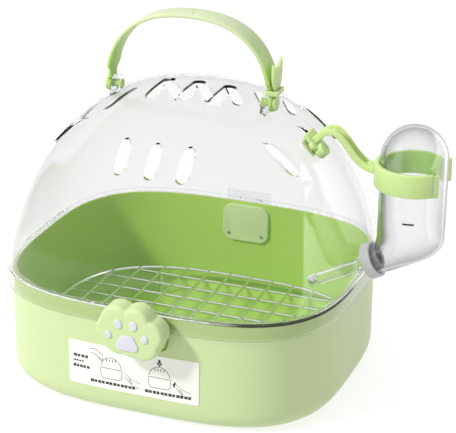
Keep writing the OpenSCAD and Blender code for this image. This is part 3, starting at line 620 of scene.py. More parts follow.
def make_tub():
    foot_steps, wall_steps, lip_steps, lip = 10, 13, 3, 0.7
    inner_r, lip_z = FOOT_R - TUB_WALL, RIM_Z - lip
    rings = [tub_ring(FOOT_R * (1 - s), FOOT_R * (1 - c)) for c, s in quarter(foot_steps)]
    rings += [tub_ring(0, FOOT_R + (lip_z - FOOT_R) * i / wall_steps) for i in range(1, wall_steps + 1)]
    rings += [tub_ring(lip * (1 - c), lip_z + lip * s) for c, s in quarter(lip_steps)[1:]]
    rings += [tub_ring(TUB_WALL - lip * (1 - s), lip_z + lip * c) for c, s in quarter(lip_steps)]
    rings += [tub_ring(TUB_WALL + inner_r * (1 - s), TUB_FLOOR + inner_r * (1 - c))
              for c, s in reversed(quarter(foot_steps))]
    tub = loft("green_tub", rings)
    carve(tub, pocket_block("slab", 2.0, -2.4, 2.0), "UNION")
    carve(tub, pocket_block("cutter", 0.0, 0.0, 40.0))
    smooth(tub, 30)
    finished(tub, "tub", "green_shell", TUB_GREEN, "tub")


make_tub()


# Dome

SLOT_W, SLOT_L, TOP_SLOT_L, SLOT_REACH = 9.0, 19, 38, 30.0
SLOT_PITCH, SIDE_PITCH, SLOT_DROP = 22, 38, 29.5


def slot_cutter(middle, along, through, length):
    """A round-ended bar that cuts an air slot."""
    side = through.cross(along)
    rings = []
    for depth in (-SLOT_REACH, SLOT_REACH):
        ring = []
        for f in turns(40, 0.5):
            shift = (length - SLOT_W) / 2 * (1 if math.sin(f) > 0 else -1)
            ring.append(Vector(middle) + through * depth + side * (SLOT_W / 2 * math.cos(f))
                        + along * (SLOT_W / 2 * math.sin(f) + shift))
        rings.append(ring)
    return loft("slot", rings, "flat")


def make_dome():
    count, levels, soft = 176, 64, 0.5
    ledge_in = TUB_IN + TUB_WALL
    profile = [(DOME_WALL, LEDGE_TOP + 0.4), (DOME_WALL + 0.4, LEDGE_TOP), (ledge_in - soft, LEDGE_TOP),
               (ledge_in, LEDGE_TOP - soft), (ledge_in, LEDGE_LOW + soft), (ledge_in - soft, LEDGE_LOW),
               (DOME_WALL + 0.2, LEDGE_LOW), (DOME_WALL, LEDGE_LOW - 0.2), (DOME_WALL, SKIRT_Z + soft),
               (DOME_WALL - 0.3, SKIRT_Z + 0.1), (DOME_WALL - 0.7, SKIRT_Z), (0.7, SKIRT_Z),
               (0.3, SKIRT_Z + 0.1), (0, SKIRT_Z + soft), (0, SKIRT_Z + 5), (0, RIM_Z)]
    rings = [dome_ring(i / levels, DOME_WALL, count) for i in range(levels - 1, 0, -1)]
    rings += [outline(HALF_W - inset, HALF_D - inset, PLAN_N, z, count) for inset, z in profile]
    rings += [dome_ring(i / levels, 0, count) for i in range(1, levels)]
    dome = loft("clear_dome", rings)
    middle_z = TOP_Z - SLOT_DROP
    k = narrowing(share_at(middle_z))
    side_x, end_y = HALF_W * k, HALF_D * k
    slots = []
    for i in (-1, 0, 1):
        slots.append(slot_cutter((SLOT_PITCH * i, -end_y, middle_z), UP, DEEP, SLOT_L))
        slots.append(slot_cutter((SLOT_PITCH * i, STRAP_Y, TOP_Z), DEEP, UP, TOP_SLOT_L))
        for side in (-1, 1):
            slots.append(slot_cutter((side * side_x, SIDE_PITCH * i, middle_z), UP, ACROSS, SLOT_L))
    for i in range(-2, 3):
        slots.append(slot_cutter((SLOT_PITCH * i, end_y, middle_z), UP, DEEP, SLOT_L))
    slots.append(rod("port", PORT - NOZZLE_AXIS * 10, PORT + NOZZLE_AXIS * 10, PORT_R, 48))
    carve(dome, joined("slots", slots))
    smooth(dome, 30)
    finished(dome, "lid", "clear_dome", CLEAR_DOME, "dome")


make_dome()
for node, width in (("dome_hinge_leaf", 0.4), ("dome_catch", 0.3),
                    ("strap_lug_left", 0.5), ("strap_lug_right", 0.5)):
    softened(node, "lid", "clear_dome", CLEAR_LUG, width)


# Front label with its line drawings

LABEL_LEFT, LABEL_RIGHT, LABEL_LOW, LABEL_TOP = -49.1, 43.9, 19.05, 50.55
LABEL_T, LABEL_CORNER, LABEL_EDGE = 0.5, 1.2, 0.1
INK_STEP, INK_SUNK, INK_PROUD = 4.0, 0.05, 0.06


def on_wall(x, z, out):
    """A point on the tub's front wall, or a little out of it."""
    a, b = HALF_W - TUB_IN, HALF_D - TUB_IN
    share = abs(x) / a
    depth = b * (1 - share ** PLAN_N) ** (1 / PLAN_N)
    lean = Vector((math.copysign(share ** (PLAN_N - 1) / a, x), -(depth / b) ** (PLAN_N - 1) / b))
    lean.normalize()
    return Vector((x + lean.x * out, -depth + lean.y * out, z))


def make_label():
    """A sticker bent round the wall, with rounded corners."""
    steps = 36
    corner = [(LABEL_CORNER * (1 - c), LABEL_CORNER * (1 - s)) for c, s in quarter(5)[:-1]]
    columns = [(LABEL_LEFT + in_by, trim) for in_by, trim in corner]
    columns += [(LABEL_LEFT + (LABEL_RIGHT - LABEL_LEFT) * i / steps, 0.0) for i in range(1, steps)]
    columns += [(LABEL_RIGHT - in_by, trim) for in_by, trim in reversed(corner)]
    rings = []
    for x, trim in columns:
        low, high = LABEL_LOW + trim, LABEL_TOP - trim
        section = ((low, 0.0), (low, LABEL_T - LABEL_EDGE), (low + LABEL_EDGE, LABEL_T),
                   (high - LABEL_EDGE, LABEL_T), (high, LABEL_T - LABEL_EDGE), (high, 0.0))
        rings.append([on_wall(x, z, out) for z, out in section])
    label = loft("front_sticker", rings, "flat")
    smooth(label, 40)
    finished(label, "tub", "label_paper", PAPER, "front_label")


make_label()


def stroke(points, width):
    """A ribbon of ink on the label: flat boxes along a line, each as two rings of corners."""
    boxes = []
    overlap = min(width, 0.5)
    for (x0, u0), (x1, u1) in zip(points, points[1:]):
        count = max(1, math.ceil(abs(x1 - x0) / INK_STEP))
        ends = [(x0 + (x1 - x0) * k / count, u0 + (u1 - u0) * k / count) for k in range(count + 1)]
        for (xa, ua), (xb, ub) in zip(ends, ends[1:]):
            run = math.hypot(xb - xa, ub - ua)
            dx, du = (xb - xa) / run, (ub - ua) / run
            nx, nu = -du * width / 2, dx * width / 2
            ex, eu = dx * overlap * 0.3, du * overlap * 0.3
            corners = [(xa - ex + nx, ua - eu + nu), (xa - ex - nx, ua - eu - nu),
                       (xb + ex - nx, ub + eu - nu), (xb + ex + nx, ub + eu + nu)]
            boxes.append([[on_wall(x, u, out) for x, u in corners]
                          for out in (LABEL_T - INK_SUNK, LABEL_T + INK_PROUD)])
    return boxes


def carrier_drawing(x, u):
    """A small carrier in outline: dome, band and tub."""
    arc = [math.radians(8 + 164 * i / 14) for i in range(15)]
    lines = [[(x + 7.4 * math.cos(f), u + 8.0 * math.sin(f)) for f in arc], [(x - 8.4, u), (x + 8.4, u)],
             [(x - 7.8, u - 1.0), (x - 7.4, u - 6.0), (x - 5.8, u - 7.6), (x + 5.8, u - 7.6),
              (x + 7.4, u - 6.0), (x + 7.8, u - 1.0)]]
    slots = [[(x + d, u + 5.0), (x + d * 1.1, u + 6.6)] for d in (-3.0, -1.0, 1.0, 3.0)]
    return [(line, 0.34) for line in lines] + [(line, 0.5) for line in slots]


def hand(x, u):
    """Three loose strokes for a hand that pulls or presses, as such drawings have."""
    return [([(x, u), (x + 2.2, u - 1.2), (x + 4.2, u - 3.2), (x + 7.2, u - 4.4),
              (x + 11.0, u - 5.4)], 0.3),
            ([(x + 0.6, u - 2.6), (x + 3.0, u - 5.4), (x + 5.6, u - 8.0), (x + 10.4, u - 9.4)], 0.3),
            ([(x + 3.0, u - 3.6), (x + 5.4, u - 6.6)], 0.45)]


def marks(x, u, count, step, wide, tall):
    """A row of plain bars in place of words."""
    wides, talls = (1.0, 0.84, 0.94, 0.78), (1.0, 0.86, 0.94)
    return [([(x + k * step, u), (x + k * step + wide * wides[k % 4], u)], tall * talls[k % 3])
            for k in range(count)]


def make_print():
    low = LABEL_LOW
    lines = marks(-45.2, low + 20.8, 4, 2.9, 2.1, 2.1) + marks(-45.2, low + 17.0, 4, 2.0, 1.3, 1.2)
    lines += marks(-45.6, low + 13.2, 5, 2.5, 1.8, 2.2)
    lines += carrier_drawing(-17.8, low + 15.6) + carrier_drawing(16.8, low + 15.6)
    lines += [([(-33.2, low + 27.6), (-29.8, low + 28.4), (-26.4, low + 26.4),
                (-23.2, low + 24.2)], 0.34),
              ([(-32.2, low + 24.8), (-29.4, low + 24.6), (-25.2, low + 20.8)], 0.34),
              ([(-26.4, low + 22.4), (-24.4, low + 20.2), (-23.6, low + 22.2)], 0.44)]
    lines += hand(-8.2, low + 14.2) + hand(27.6, low + 13.4)
    lines += [([(16.8, low + 26.2), (16.8, low + 28.8)], 1.7),
              ([(15.1, low + 26.6), (16.8, low + 24.4), (18.5, low + 26.6)], 0.8),
              ([(26.2, low + 12.2), (27.8, low + 14.4), (26.8, low + 10.8)], 1.0)]
    lines += marks(-32.8, low + 4.6, 12, 2.75, 2.1, 2.1) + marks(6.6, low + 4.6, 12, 2.75, 2.1, 2.2)
    boxes = [made for points, width in lines for made in stroke(points, width)]
    corners = [tuple(p * MM) for made in boxes for ring in made for p in ring]
    faces = []
    for a in range(0, len(corners), 8):
        faces += [(a + 3, a + 2, a + 1, a), (a + 4, a + 5, a + 6, a + 7)]
        faces += [(a + i, a + (i + 1) % 4, a + 4 + (i + 1) % 4, a + 4 + i) for i in range(4)]
    mesh = bpy.data.meshes.new("label_print")
    mesh.from_pydata(corners, [], faces)
    piece = added("label_print", mesh)
    edit(piece)
    face_outward()
    finished(piece, "tub", "label_paper", INK)


make_print()


# Latch

PAW_Z, PAW_BACK, PAW_FRONT, PAW_WALL = 75.5, 107.562, 121.962, 2.2
PAW_LOBES = [(-8, 3.3, 11), (5.4, 4.4, 9.8), (14.2, -3.4, 10.2), (-11.2, -2.8, 10.8),
             (-6, -6.4, 13), (3.4, -5.6, 14.8), (10.8, -10.2, 10.8)]
PAW_POINTS = 200
PAD_RISE, PAD_EDGE = 0.9, 0.55
TOES = [(-5.6, 2.9, 2.7, 3.3, 12), (4.9, 3.0, 2.8, 3.3, -8),
        (-12.5, -5.5, 2.2, 2.7, 15), (12.6, -5.2, 2.3, 2.8, -15)]
HEEL_LOBES = [(-4.6, -12.2, 3.0), (5.2, -12.2, 3.0), (3.0, -7.4, 3.0), (-1.6, -7.6, 3.0)]
HEEL_X, HEEL_Z, HEEL_POINTS = 0.4, -10.2, 72


def paw_ring(inset, distance):
    """The paw's outline drawn in by a margin, at a distance in front of the middle."""
    reach = []
    for f in turns(PAW_POINTS):
        dx, dz = math.cos(f), math.sin(f)
        best = 0.0
        for x, z, r in PAW_LOBES:
            along = x * dx + z * dz
            inside = (r - inset) ** 2 - (x * x + z * z - along * along)
            if inside > 0:
                best = max(best, along + math.sqrt(inside))
        reach.append(best)
    for _ in range(3):
        reach = [(reach[k - 1] + 2 * reach[k] + reach[(k + 1) % PAW_POINTS]) / 4
                 for k in range(PAW_POINTS)]
    return [Vector((LATCH_X + r * math.cos(f), -distance, PAW_Z + r * math.sin(f)))
            for f, r in zip(turns(PAW_POINTS), reach)]


def drawn_in(ring, share):
    return [Vector((LATCH_X + (p.x - LATCH_X) * share, p.y, PAW_Z + (p.z - PAW_Z) * share))
            for p in ring]


def make_paw():
    edge, inner_front = 2.6, PAW_FRONT - PAW_WALL
    inmost = paw_ring(PAW_WALL + 1.0, inner_front)
    rings = [drawn_in(inmost, share) for share in (0.25, 0.5, 0.75, 1.0)]
    rings += [paw_ring(inset, distance) for inset, distance in (
        (PAW_WALL, inner_front - 1.0), (PAW_WALL, PAW_BACK + 0.3), (PAW_WALL - 0.3, PAW_BACK),
        (0.5, PAW_BACK), (0.0, PAW_BACK + 0.5), (0.0, PAW_BACK + 2.0), (0.0, PAW_FRONT - edge - 1.0))]
    rings += [paw_ring(edge * (1 - c), PAW_FRONT - edge + edge * s) for c, s in quarter(6)]
    rings += [drawn_in(rings[-1], share) for share in (0.75, 0.5, 0.25)]
    paw = loft("paw_button", rings)
    smooth(paw, 50)
    finished(paw, "latch", "green_fitting", PAW_GREEN, "paw_cover")


def crowned_pad(name, points):
    """A pad with a rounded rim: its outline drawn in while it rises."""
    middle = Vector((sum(p[0] for p in points) / len(points), sum(p[1] for p in points) / len(points)))
    rings = []
    for inset, rise in ((0.0, 0.0), (0.0, PAD_RISE - PAD_EDGE),
                        (0.1 * PAD_EDGE, PAD_RISE - 0.62 * PAD_EDGE),
                        (0.35 * PAD_EDGE, PAD_RISE - 0.3 * PAD_EDGE),
                        (0.75 * PAD_EDGE, PAD_RISE - 0.06 * PAD_EDGE), (1.2 * PAD_EDGE, PAD_RISE)):
        ring = []
        for point in points:
            away = Vector(point) - middle
            away *= max(0.0, 1 - inset / away.length)
            ring.append(Vector((LATCH_X + middle.x + away.x, -PAW_FRONT - rise,
                                PAW_Z + middle.y + away.y)))
        rings.append(ring)
    pad = loft(name, rings)
    smooth(pad, 60)
    return pad


def oval(x, z, rx, rz, lean):
    c, s = math.cos(math.radians(lean)), math.sin(math.radians(lean))
    points = []
    for f in turns(40):
        a, b = rx * math.cos(f), rz * math.sin(f)
        points.append((x + a * c - b * s, z + a * s + b * c))
    return points


def heel_outline():
    """A rounded three-sided pad, flat below and round on top."""
    angles, ring = turns(HEEL_POINTS), []
    reach = [max((x - HEEL_X) * math.cos(f) + (z - HEEL_Z) * math.sin(f) + r for x, z, r in HEEL_LOBES)
             for f in angles]
    for k, (f, far) in enumerate(zip(angles, reach)):
        slope = (reach[(k + 1) % HEEL_POINTS] - reach[k - 1]) / (4 * math.pi / HEEL_POINTS)
        ring.append((HEEL_X + far * math.cos(f) - slope * math.sin(f),
                     HEEL_Z + far * math.sin(f) + slope * math.cos(f)))
    return ring


make_paw()
toe_pads = joined("toe_pads", [crowned_pad("toe", oval(*toe)) for toe in TOES])
finished(toe_pads, "latch", "pad_plastic", PAD_GREY, "paw_toe_pads")
finished(crowned_pad("heel_pad", heel_outline()), "latch", "pad_plastic", PAD_GREY, "paw_heel_pad")
softened("latch_arm", "latch", "green_fitting", GREEN_FITTING, 0.35)
softened("latch_base", "tub", "green_shell", GREEN_SHELL, 0.35)
softened("latch_pin", "tub", "pin_steel", STEEL, 0.3)


# Rear hinge

softened("hinge_bracket", "tub", "green_fitting", GREEN_FITTING, 0.4)
softened("hinge_backing_plate", "tub", "green_fitting", PALE_PLATE, 0.5)
softened("hinge_screws", "tub", "pin_steel", STEEL, 0.35)
softened("hinge_pin", "tub", "pin_steel", STEEL, 0.3)


# Carrying strap

LEFT_SHOULDER, RIGHT_SHOULDER = 2.3, 2.4
STRAP_T, STRAP_CORNER, STRAP_END_R = 2.6, 0.9, 5.9
NECK_HALF, BAND_HALF, NECK_TOP, BAND_START = 5.0, 9.0, 10, 14
ARCH_STEPS, ARCH_START = 110, 3.6
SEAM_X, SEAM_HALF, SEAM_R = 1.8, 3.5, 0.42


def arch_point(angle):
    n = LEFT_SHOULDER if angle > math.pi / 2 else RIGHT_SHOULDER
    return Vector((STRAP_HALF * signed_power(math.cos(angle), 2 / n),
                   STRAP_RISE * signed_power(math.sin(angle), 2 / n)))


def strap_section(middle, normal, half_width):
    """A rounded flat section: its width along Y, its thickness along the normal."""
    points = []
    for sx, sy, start in ((1, 1, 0), (-1, 1, 90), (-1, -1, 180), (1, -1, 270)):
        for i in range(4):
            f = math.radians(start + 30 * i)
            across = sy * (half_width - STRAP_CORNER) + STRAP_CORNER * math.sin(f)
            out = sx * (STRAP_T / 2 - STRAP_CORNER) + STRAP_CORNER * math.cos(f)
            points.append(Vector((middle.x + normal.x * out, STRAP_Y + across,
                                  STRAP_Z + middle.y + normal.y * out)))
    return points


def strap_half_width(up):
    """The neck's half width below, the band's above, and a soft change between them."""
    t = max(0.0, min(1.0, (up - NECK_TOP) / (BAND_START - NECK_TOP)))
    return NECK_HALF + (BAND_HALF - NECK_HALF) * (3 * t * t - 2 * t * t * t)


def strap_end(side):
    """The round end over a button, from its foot up to the neck."""
    foot = [-STRAP_END_R * c for c, _ in quarter(10)]
    widths = [(up, math.sqrt(max(STRAP_END_R ** 2 - up * up, 0.9))) for up in foot if up <= -3.0]
    widths += [(-2.0, 5.55), (-0.5, 5.86), (0.8, 5.84), (2.0, 5.55), (3.2, NECK_HALF)]
    return [strap_section(Vector((side * STRAP_HALF, up)), Vector((1, 0)), max(wide, 0.95))
            for up, wide in widths]


def make_strap():
    rings = strap_end(1)
    for k in range(1, ARCH_STEPS):
        angle = math.pi * k / ARCH_STEPS
        here = arch_point(angle)
        if here.y >= ARCH_START:
            ahead = arch_point(angle + 0.004) - arch_point(angle - 0.004)
            normal = Vector((ahead.y, -ahead.x)).normalized()
            rings.append(strap_section(here, normal, strap_half_width(here.y)))
    strap = loft("carrying_strap", rings + strap_end(-1)[::-1])
    crown = STRAP_Z + STRAP_RISE + STRAP_T / 2
    carve(strap, rod("seam", (SEAM_X - SEAM_HALF, STRAP_Y + 12, crown),
                     (SEAM_X + SEAM_HALF, STRAP_Y - 12, crown), SEAM_R, 12))
    smooth(strap, 50)
    finished(strap, "handle", "green_fitting", STRAP_GREEN, "carry_strap")


make_strap()
for node, width in (("strap_button_left", 0.5), ("strap_button_right", 0.5),
                    ("strap_keeper", 0.4), ("strap_tail", 0.5)):
    softened(node, "handle", "green_fitting", GREEN_FITTING, width)


# Wire floor grid

GRID_HALF_X, GRID_HALF_Y, GRID_N, GRID_Z, GRID_PITCH = 110.7, 91.0, 2.9, 22.0, 17.0
BORDER_R, WIRE_R = 1.5, 1.0


def wire_ring(middle, across):
    return [middle + across * (BORDER_R * math.cos(f)) + UP * (BORDER_R * math.sin(f))
            for f in turns(12)]


def wire_reach(off, along, far):
    """How far a wire this far off the middle reaches within the border."""
    return far * (1 - (abs(off) / along) ** GRID_N) ** (1 / GRID_N)


def make_grid():
    path = outline(GRID_HALF_X, GRID_HALF_Y, GRID_N, GRID_Z, 160)
    rings = []
    for k, point in enumerate(path):
        ahead = path[(k + 1) % len(path)] - path[k - 1]
        rings.append(wire_ring(point, Vector((ahead.y, -ahead.x, 0)).normalized()))
    pieces = [loft("border_wire", rings, "joined")]
    over, under = GRID_Z + 0.5, GRID_Z - 1.0
    for i in range(-6, 6):
        x = (i + 0.5) * GRID_PITCH
        y = wire_reach(x, GRID_HALF_X, GRID_HALF_Y)
        pieces.append(rod("wire", (x, -y, over), (x, y, over), WIRE_R, 12))
    for i in range(-5, 5):
        y = (i + 0.5) * GRID_PITCH
        x = wire_reach(y, GRID_HALF_Y, GRID_HALF_X)
        pieces.append(rod("wire", (-x, y, under), (x, y, under), WIRE_R, 12))
    grid = joined("wire_grid", pieces)
    smooth(grid, 40)
    finished(grid, "grid", "grid_steel", PLATED, "floor_grid")


make_grid()
softened("grid_legs", "grid", "grid_steel", PLATED, 0.6)


# Water bottle

MOUTH_R, MOUTH_OUT, BOTTLE_T = 10.4, 9.2, 2.4
BEND_STEPS, SIDE_POINTS = 14, 26
MARK_START, MARK_SPAN, MARK_STEPS = -90.5, 19.0, 8


def bezier(p0, p1, p2, p3):
    return [p0 * (1 - t) ** 3 + p1 * 3 * (1 - t) ** 2 * t + p2 * 3 * (1 - t) * t * t + p3 * t ** 3
            for t in (i / BEND_STEPS for i in range(BEND_STEPS + 1))]


def spaced(line, count):
    """Points at even spaces along a line of points."""
    runs = [0.0]
    for p, q in zip(line, line[1:]):
        runs.append(runs[-1] + (q - p).length)
    made, j = [], 0
    for k in range(count):
        want = runs[-1] * k / (count - 1)
        while j < len(line) - 2 and runs[j + 1] < want:
            j += 1
        made.append(line[j].lerp(line[j + 1], (want - runs[j]) / (runs[j + 1] - runs[j])))
    return made


def bottle_sides():
    """The bottle's lower and upper side outlines, from its mouth to where it stands upright."""
    along = Vector((math.cos(NOZZLE_TILT), math.sin(NOZZLE_TILT)))
    off = Vector((along.y, -along.x))
    mouth = Vector((PORT.x, PORT.z)) + along * MOUTH_OUT
    low, high = mouth + off * MOUTH_R, mouth - off * MOUTH_R
    left, right = BOTTLE_X - BOTTLE_R, BOTTLE_X + BOTTLE_R
    bend, turn = Vector((160.0, 100.6)), high + along * 2.4
    lower = [low] + bezier(bend, bend + along * 8, Vector((right, 108.0)), Vector((right, 116.5)))
    upper = [high] + bezier(turn, turn + along * 5, Vector((left, 109.0)), Vector((left, 119.0)))
    return (spaced(lower + [Vector((right, BOTTLE_LOW))], SIDE_POINTS),
            spaced(upper + [Vector((left, BOTTLE_LOW))], SIDE_POINTS))


def bottle_skin(inset):
    """Rings from the mouth to the top, each from a middle, a half axis and a half width."""
    levels = []
    for k, (o, i) in enumerate(zip(*bottle_sides())):
        t = k / (SIDE_POINTS - 1)
        half = (o - i) / 2
        wide = MOUTH_R + (BOTTLE_R - MOUTH_R) * (1 - (1 - t) ** 1.7) - inset
        levels.append(((o + i) / 2, half * (1 - inset / half.length), wide))
    r = BOTTLE_R - inset
    for i in range(1, 11):
        z = BOTTLE_LOW + (BOTTLE_HIGH - BOTTLE_LOW) * i / 10
        levels.append((Vector((BOTTLE_X, z)), Vector((r, 0)), r))
    for c, s in quarter(16)[1:-1]:
        levels.append((Vector((BOTTLE_X, BOTTLE_HIGH + r * s)), Vector((r * c, 0)), r * c))
    return [[Vector((m.x + h.x * math.cos(f), w * math.sin(f), m.y + h.y * math.cos(f)))
             for f in turns(72)] for m, h, w in levels]


def make_bottle():
    bottle = loft("clear_bottle", bottle_skin(BOTTLE_T)[::-1] + bottle_skin(0.0))
    smooth(bottle, 50)
    finished(bottle, "lid", "clear_bottle", CLEAR_BOTTLE, "water_bottle")


def make_fill_mark():
    """A short line on the bottle that shows how far to fill it."""
    section = ((22.25, 132.4), (22.34, 132.4), (22.34, 133.7), (22.25, 133.7))
    rings = []
    for k in range(MARK_STEPS + 1):
        f = math.radians(MARK_START + MARK_SPAN * k / MARK_STEPS)
        rings.append([Vector((BOTTLE_X + r * math.cos(f), r * math.sin(f), z)) for r, z in section])
    finished(loft("fill_mark", rings, "flat"), "lid", "clear_bottle", INK)


make_bottle()
make_fill_mark()
softened("bottle_cap", "lid", "cap_plastic", CAP_WHITE, 0.5)
softened("cap_seal", "lid", "seal_rubber", SEAL, 0.3)
softened("nozzle_tube", "lid", "clear_bottle", CLEAR_NOZZLE, 0.25)
softened("drinking_ball", "ball", "pin_steel", STEEL, 0)


# Bottle bracket

CLIP, CLIP_LEAN = Vector((84.287, 171.5)), math.radians(47.285)
RING_OPEN, RING_STEPS, RING_CORNER, BAND_T = 41.0, 96, 0.5, 3.2
ARM_HALF, ARM_T, ARM_GROOVE, GROOVE_DEPTH, ARM_STEPS = 5.0, 4.6, 3.1, 2.3, 48
CLIP_PLATES = (((-8.5, -8, 0.25), (8.5, 8, 2.65), 0.7), ((-5.5, -3.8, -4.6), (5.5, 3.8, 1.4), 0.4),
               ((-6, -7, -4.6), (6, 7, -2.6), 0.5))
KNOBS = ((6.5, -5.5, 4.6, 6.5), (0.5, -8.5, 3.0, 3.5))
KNOB_FOOT = 0.25


def ring_section(angle):
    """A rounded upright section of the bracket's ring at an angle round the bottle."""
    inner, outer = RING_IN + RING_CORNER, RING_OUT - RING_CORNER
    low, high = RING_Z + RING_CORNER, RING_Z + RING_H - RING_CORNER
    points = []
    for r, z, start in ((outer, high, 0), (inner, high, 90), (inner, low, 180), (outer, low, 270)):
        for i in range(3):
            f = math.radians(start + 45 * i)
            radius = r + RING_CORNER * math.cos(f)
            points.append(Vector((BOTTLE_X + radius * math.cos(angle), radius * math.sin(angle),
                                  z + RING_CORNER * math.sin(f))))
    return points


def make_ring():
    start, end = math.radians(RING_OPEN), math.radians(360 - RING_OPEN)
    band = [ring_section(start + (end - start) * i / RING_STEPS) for i in range(RING_STEPS + 1)]
    pieces = [loft("band", band, "flat")]
    lip_r = BAND_T / 2 + 0.6
    for side in (-1, 1):
        x = BOTTLE_X + (RING_IN + lip_r) * math.cos(start)
        y = side * (RING_IN + lip_r) * math.sin(start)
        lip = rod("lip", (x, y, RING_Z), (x, y, RING_Z + RING_H), lip_r, 32)
        rounded(lip, 0.5)
        pieces.append(lip)
    return pieces


def arm_points():
    """The arm's line from the clip to the ring: its share, its place and its upward normal."""
    start = CLIP + Vector((0.5, 2.0))
    end = Vector((BOTTLE_X - RING_OUT + BAND_T / 3, RING_Z + RING_H / 2))
    p1, p2 = start + Vector((19, 26)), end - Vector((21, 0))
    for i in range(ARM_STEPS + 1):
        t = i / ARM_STEPS
        here = (1 - t) ** 3 * start + 3 * (1 - t) ** 2 * t * p1 + 3 * (1 - t) * t * t * p2 + t ** 3 * end
        ahead = 3 * (1 - t) ** 2 * (p1 - start) + 6 * (1 - t) * t * (p2 - p1) + 3 * t * t * (end - p2)
        yield t, here, Vector((-ahead.y, ahead.x)).normalized()


def make_arm():
    """The arm's section is a channel: its groove sinks in after the start and ends before the ring."""
    top, low = ARM_T / 2, -ARM_T / 2
    rings = []
    for t, here, up in arm_points():
        sink = (GROOVE_DEPTH * max(0.0, min(1.0, (t - 0.14) / 0.08))
                * max(0.0, min(1.0, (0.9 - t) / 0.07)))
        right = [(ARM_HALF - 0.6, low), (ARM_HALF, low + 0.6), (ARM_HALF, top - 0.6),
                 (ARM_HALF - 0.5, top), (ARM_GROOVE + 0.3, top), (ARM_GROOVE, top - 0.3 * min(1, sink)),
                 (ARM_GROOVE - 0.1, top - max(sink, 0.02) + 0.02), (ARM_GROOVE - 0.5, top - sink)]
        left = [(-y, out) for y, out in reversed(right)]
        section = left[-1:] + right + left[:-1]
        rings.append([Vector((here.x + up.x * out, y, here.y + up.y * out)) for y, out in section])
    return loft("arm", rings, "flat")


def on_clip(piece):
    """Moves a piece drawn flat on the clip's plate to its place on the dome."""
    turn = Matrix.Rotation(CLIP_LEAN, 4, "Y")
    piece.data.transform(Matrix.Translation((CLIP.x * MM, 0, CLIP.y * MM)) @ turn)
    return piece


def make_bracket():
    pieces = make_ring() + [make_arm()]
    for low, high, edge in CLIP_PLATES:
        block = box("plate", low, high)
        rounded(block, edge)
        pieces.append(on_clip(block))
    for x, y, radius, rise in KNOBS:
        knob = rod("knob", (x, y, KNOB_FOOT), (x, y, KNOB_FOOT + rise), radius, 40)
        rounded(knob, 1.0, 4)
        pieces.append(on_clip(knob))
    bracket = joined("bottle_holder", pieces)
    smooth(bracket, 45)
    finished(bracket, "lid", "green_fitting", BRACKET_GREEN, "bottle_bracket")


make_bracket()


# Floor, light and camera, in metres

CARD_TURN, CARD_FAR = math.radians(30), 0.3
CARD_CORNERS = ((-0.36, 0.02), (0.13, 0.02), (0.13, 0.32), (-0.03, 0.29), (-0.112, 0.246),
                (-0.16, 0.22), (-0.202, 0.189), (-0.235, 0.151), (-0.263, 0.108))
AIM = Vector((0, 0, 0.1))
PHOTO_W, FOCAL, SENSOR, CAMERA_FAR = 456.0, 1740.0, 36.0, 1.2


def make_floor():
    """A grey sheet that catches the shadow and shines pale to the camera."""
    clear_selection()
    bpy.ops.mesh.primitive_plane_add(size=9.0, location=(0, 0, -0.0004))
    floor = bpy.context.object
    floor.name = "studio_floor"
    settle(floor)
    finish = Finish("studio_paper", Roughness=0.9, Specular_IOR_Level=0.1)
    tone = finish.noise(3.0, 2.0, 0.5)
    finish.set(Base_Color=finish.blend(tone, (0.4, 0.4, 0.4), (0.42, 0.42, 0.42)))
    seen = finish.rays("Camera", "Glossy", "Transmission")
    glow = finish.node("Emission", Color=WHITE, Strength=seen * 0.34 + 0.4)
    finish.show(finish.node("AddShader", finish.shader.outputs[0], glow))
    floor.data.materials.append(finish.material)


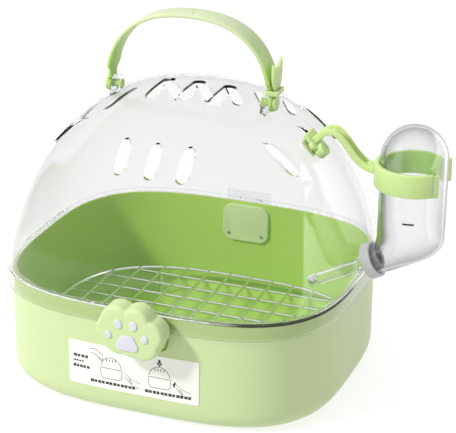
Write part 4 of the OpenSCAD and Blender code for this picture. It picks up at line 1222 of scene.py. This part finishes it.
def make_world():
    """White behind the carrier, a little darker in reflections, and darker still as light."""
    world = bpy.data.worlds.new("studio")
    bpy.context.scene.world = world
    world.use_nodes = True
    graph = Graph(world.node_tree, "ShaderNodeOutputWorld")
    level = graph.rays("Camera", "Transmission") * 0.5 + graph.rays("Glossy") * 0.25 + 0.5
    graph.show(graph.node("Background", Color=WHITE, Strength=graph.maths("MINIMUM", level, 1.0)))


def soft_lamp(name, place, size, power):
    lamp = bpy.data.lights.new(name, "AREA")
    lamp.shape = "DISK"
    lamp.size = size
    lamp.energy = power
    holder = added(name, lamp)
    holder.visible_glossy = False
    holder.visible_transmission = False
    holder.location = place
    holder.rotation_euler = (Vector(place) - AIM).to_track_quat("Z", "Y").to_euler()


def reflected_card():
    """A card beside the set that shows only as a soft reflection on the clear plastic."""
    c, s = math.cos(CARD_TURN), math.sin(CARD_TURN)
    clear_selection()
    bpy.ops.mesh.primitive_circle_add(vertices=len(CARD_CORNERS), radius=1.0, fill_type="NGON")
    card = bpy.context.object
    card.name = "right_card"
    for vert, (across, up) in zip(card.data.vertices, CARD_CORNERS):
        vert.co = (CARD_FAR * c - across * s, CARD_FAR * s + across * c, up)
    finish = Finish("card_glow")
    _, y, z = finish.axes()
    strength = (z * 12.0 + 1.3) * (1.35 - y * 4.2)
    finish.show(finish.node("Emission", Color=WHITE, Strength=strength))
    card.data.materials.append(finish.material)
    card.visible_camera = False
    card.visible_diffuse = False
    card.visible_shadow = False


def make_camera():
    """The photo's view: its two axes, its focal length and its off-centre crop in the photo's pixels."""
    right = Vector((0.92600, 0.37749, 0.0))
    back = Vector((0.34809, -0.85388, 0.38703))
    turn = Matrix((right, back.cross(right), back)).transposed()
    lens = bpy.data.cameras.new("photo_camera")
    lens.sensor_width = SENSOR
    lens.lens = FOCAL * SENSOR / PHOTO_W
    lens.shift_x = 32.25 / PHOTO_W
    lens.shift_y = 8.12 / PHOTO_W
    lens.clip_start = 0.05
    camera = added("photo_camera", lens)
    camera.matrix_world = Matrix.Translation(AIM + back * CAMERA_FAR) @ turn.to_4x4()
    bpy.context.scene.camera = camera


make_floor()
make_world()
soft_lamp("key", (-1.15, -1.34, 1.45), 0.3, 34.0)
soft_lamp("top", (-0.1, 0.1, 1.9), 1.2, 8.0)
reflected_card()
make_camera()
bpy.context.scene.view_settings.view_transform = "Standard"
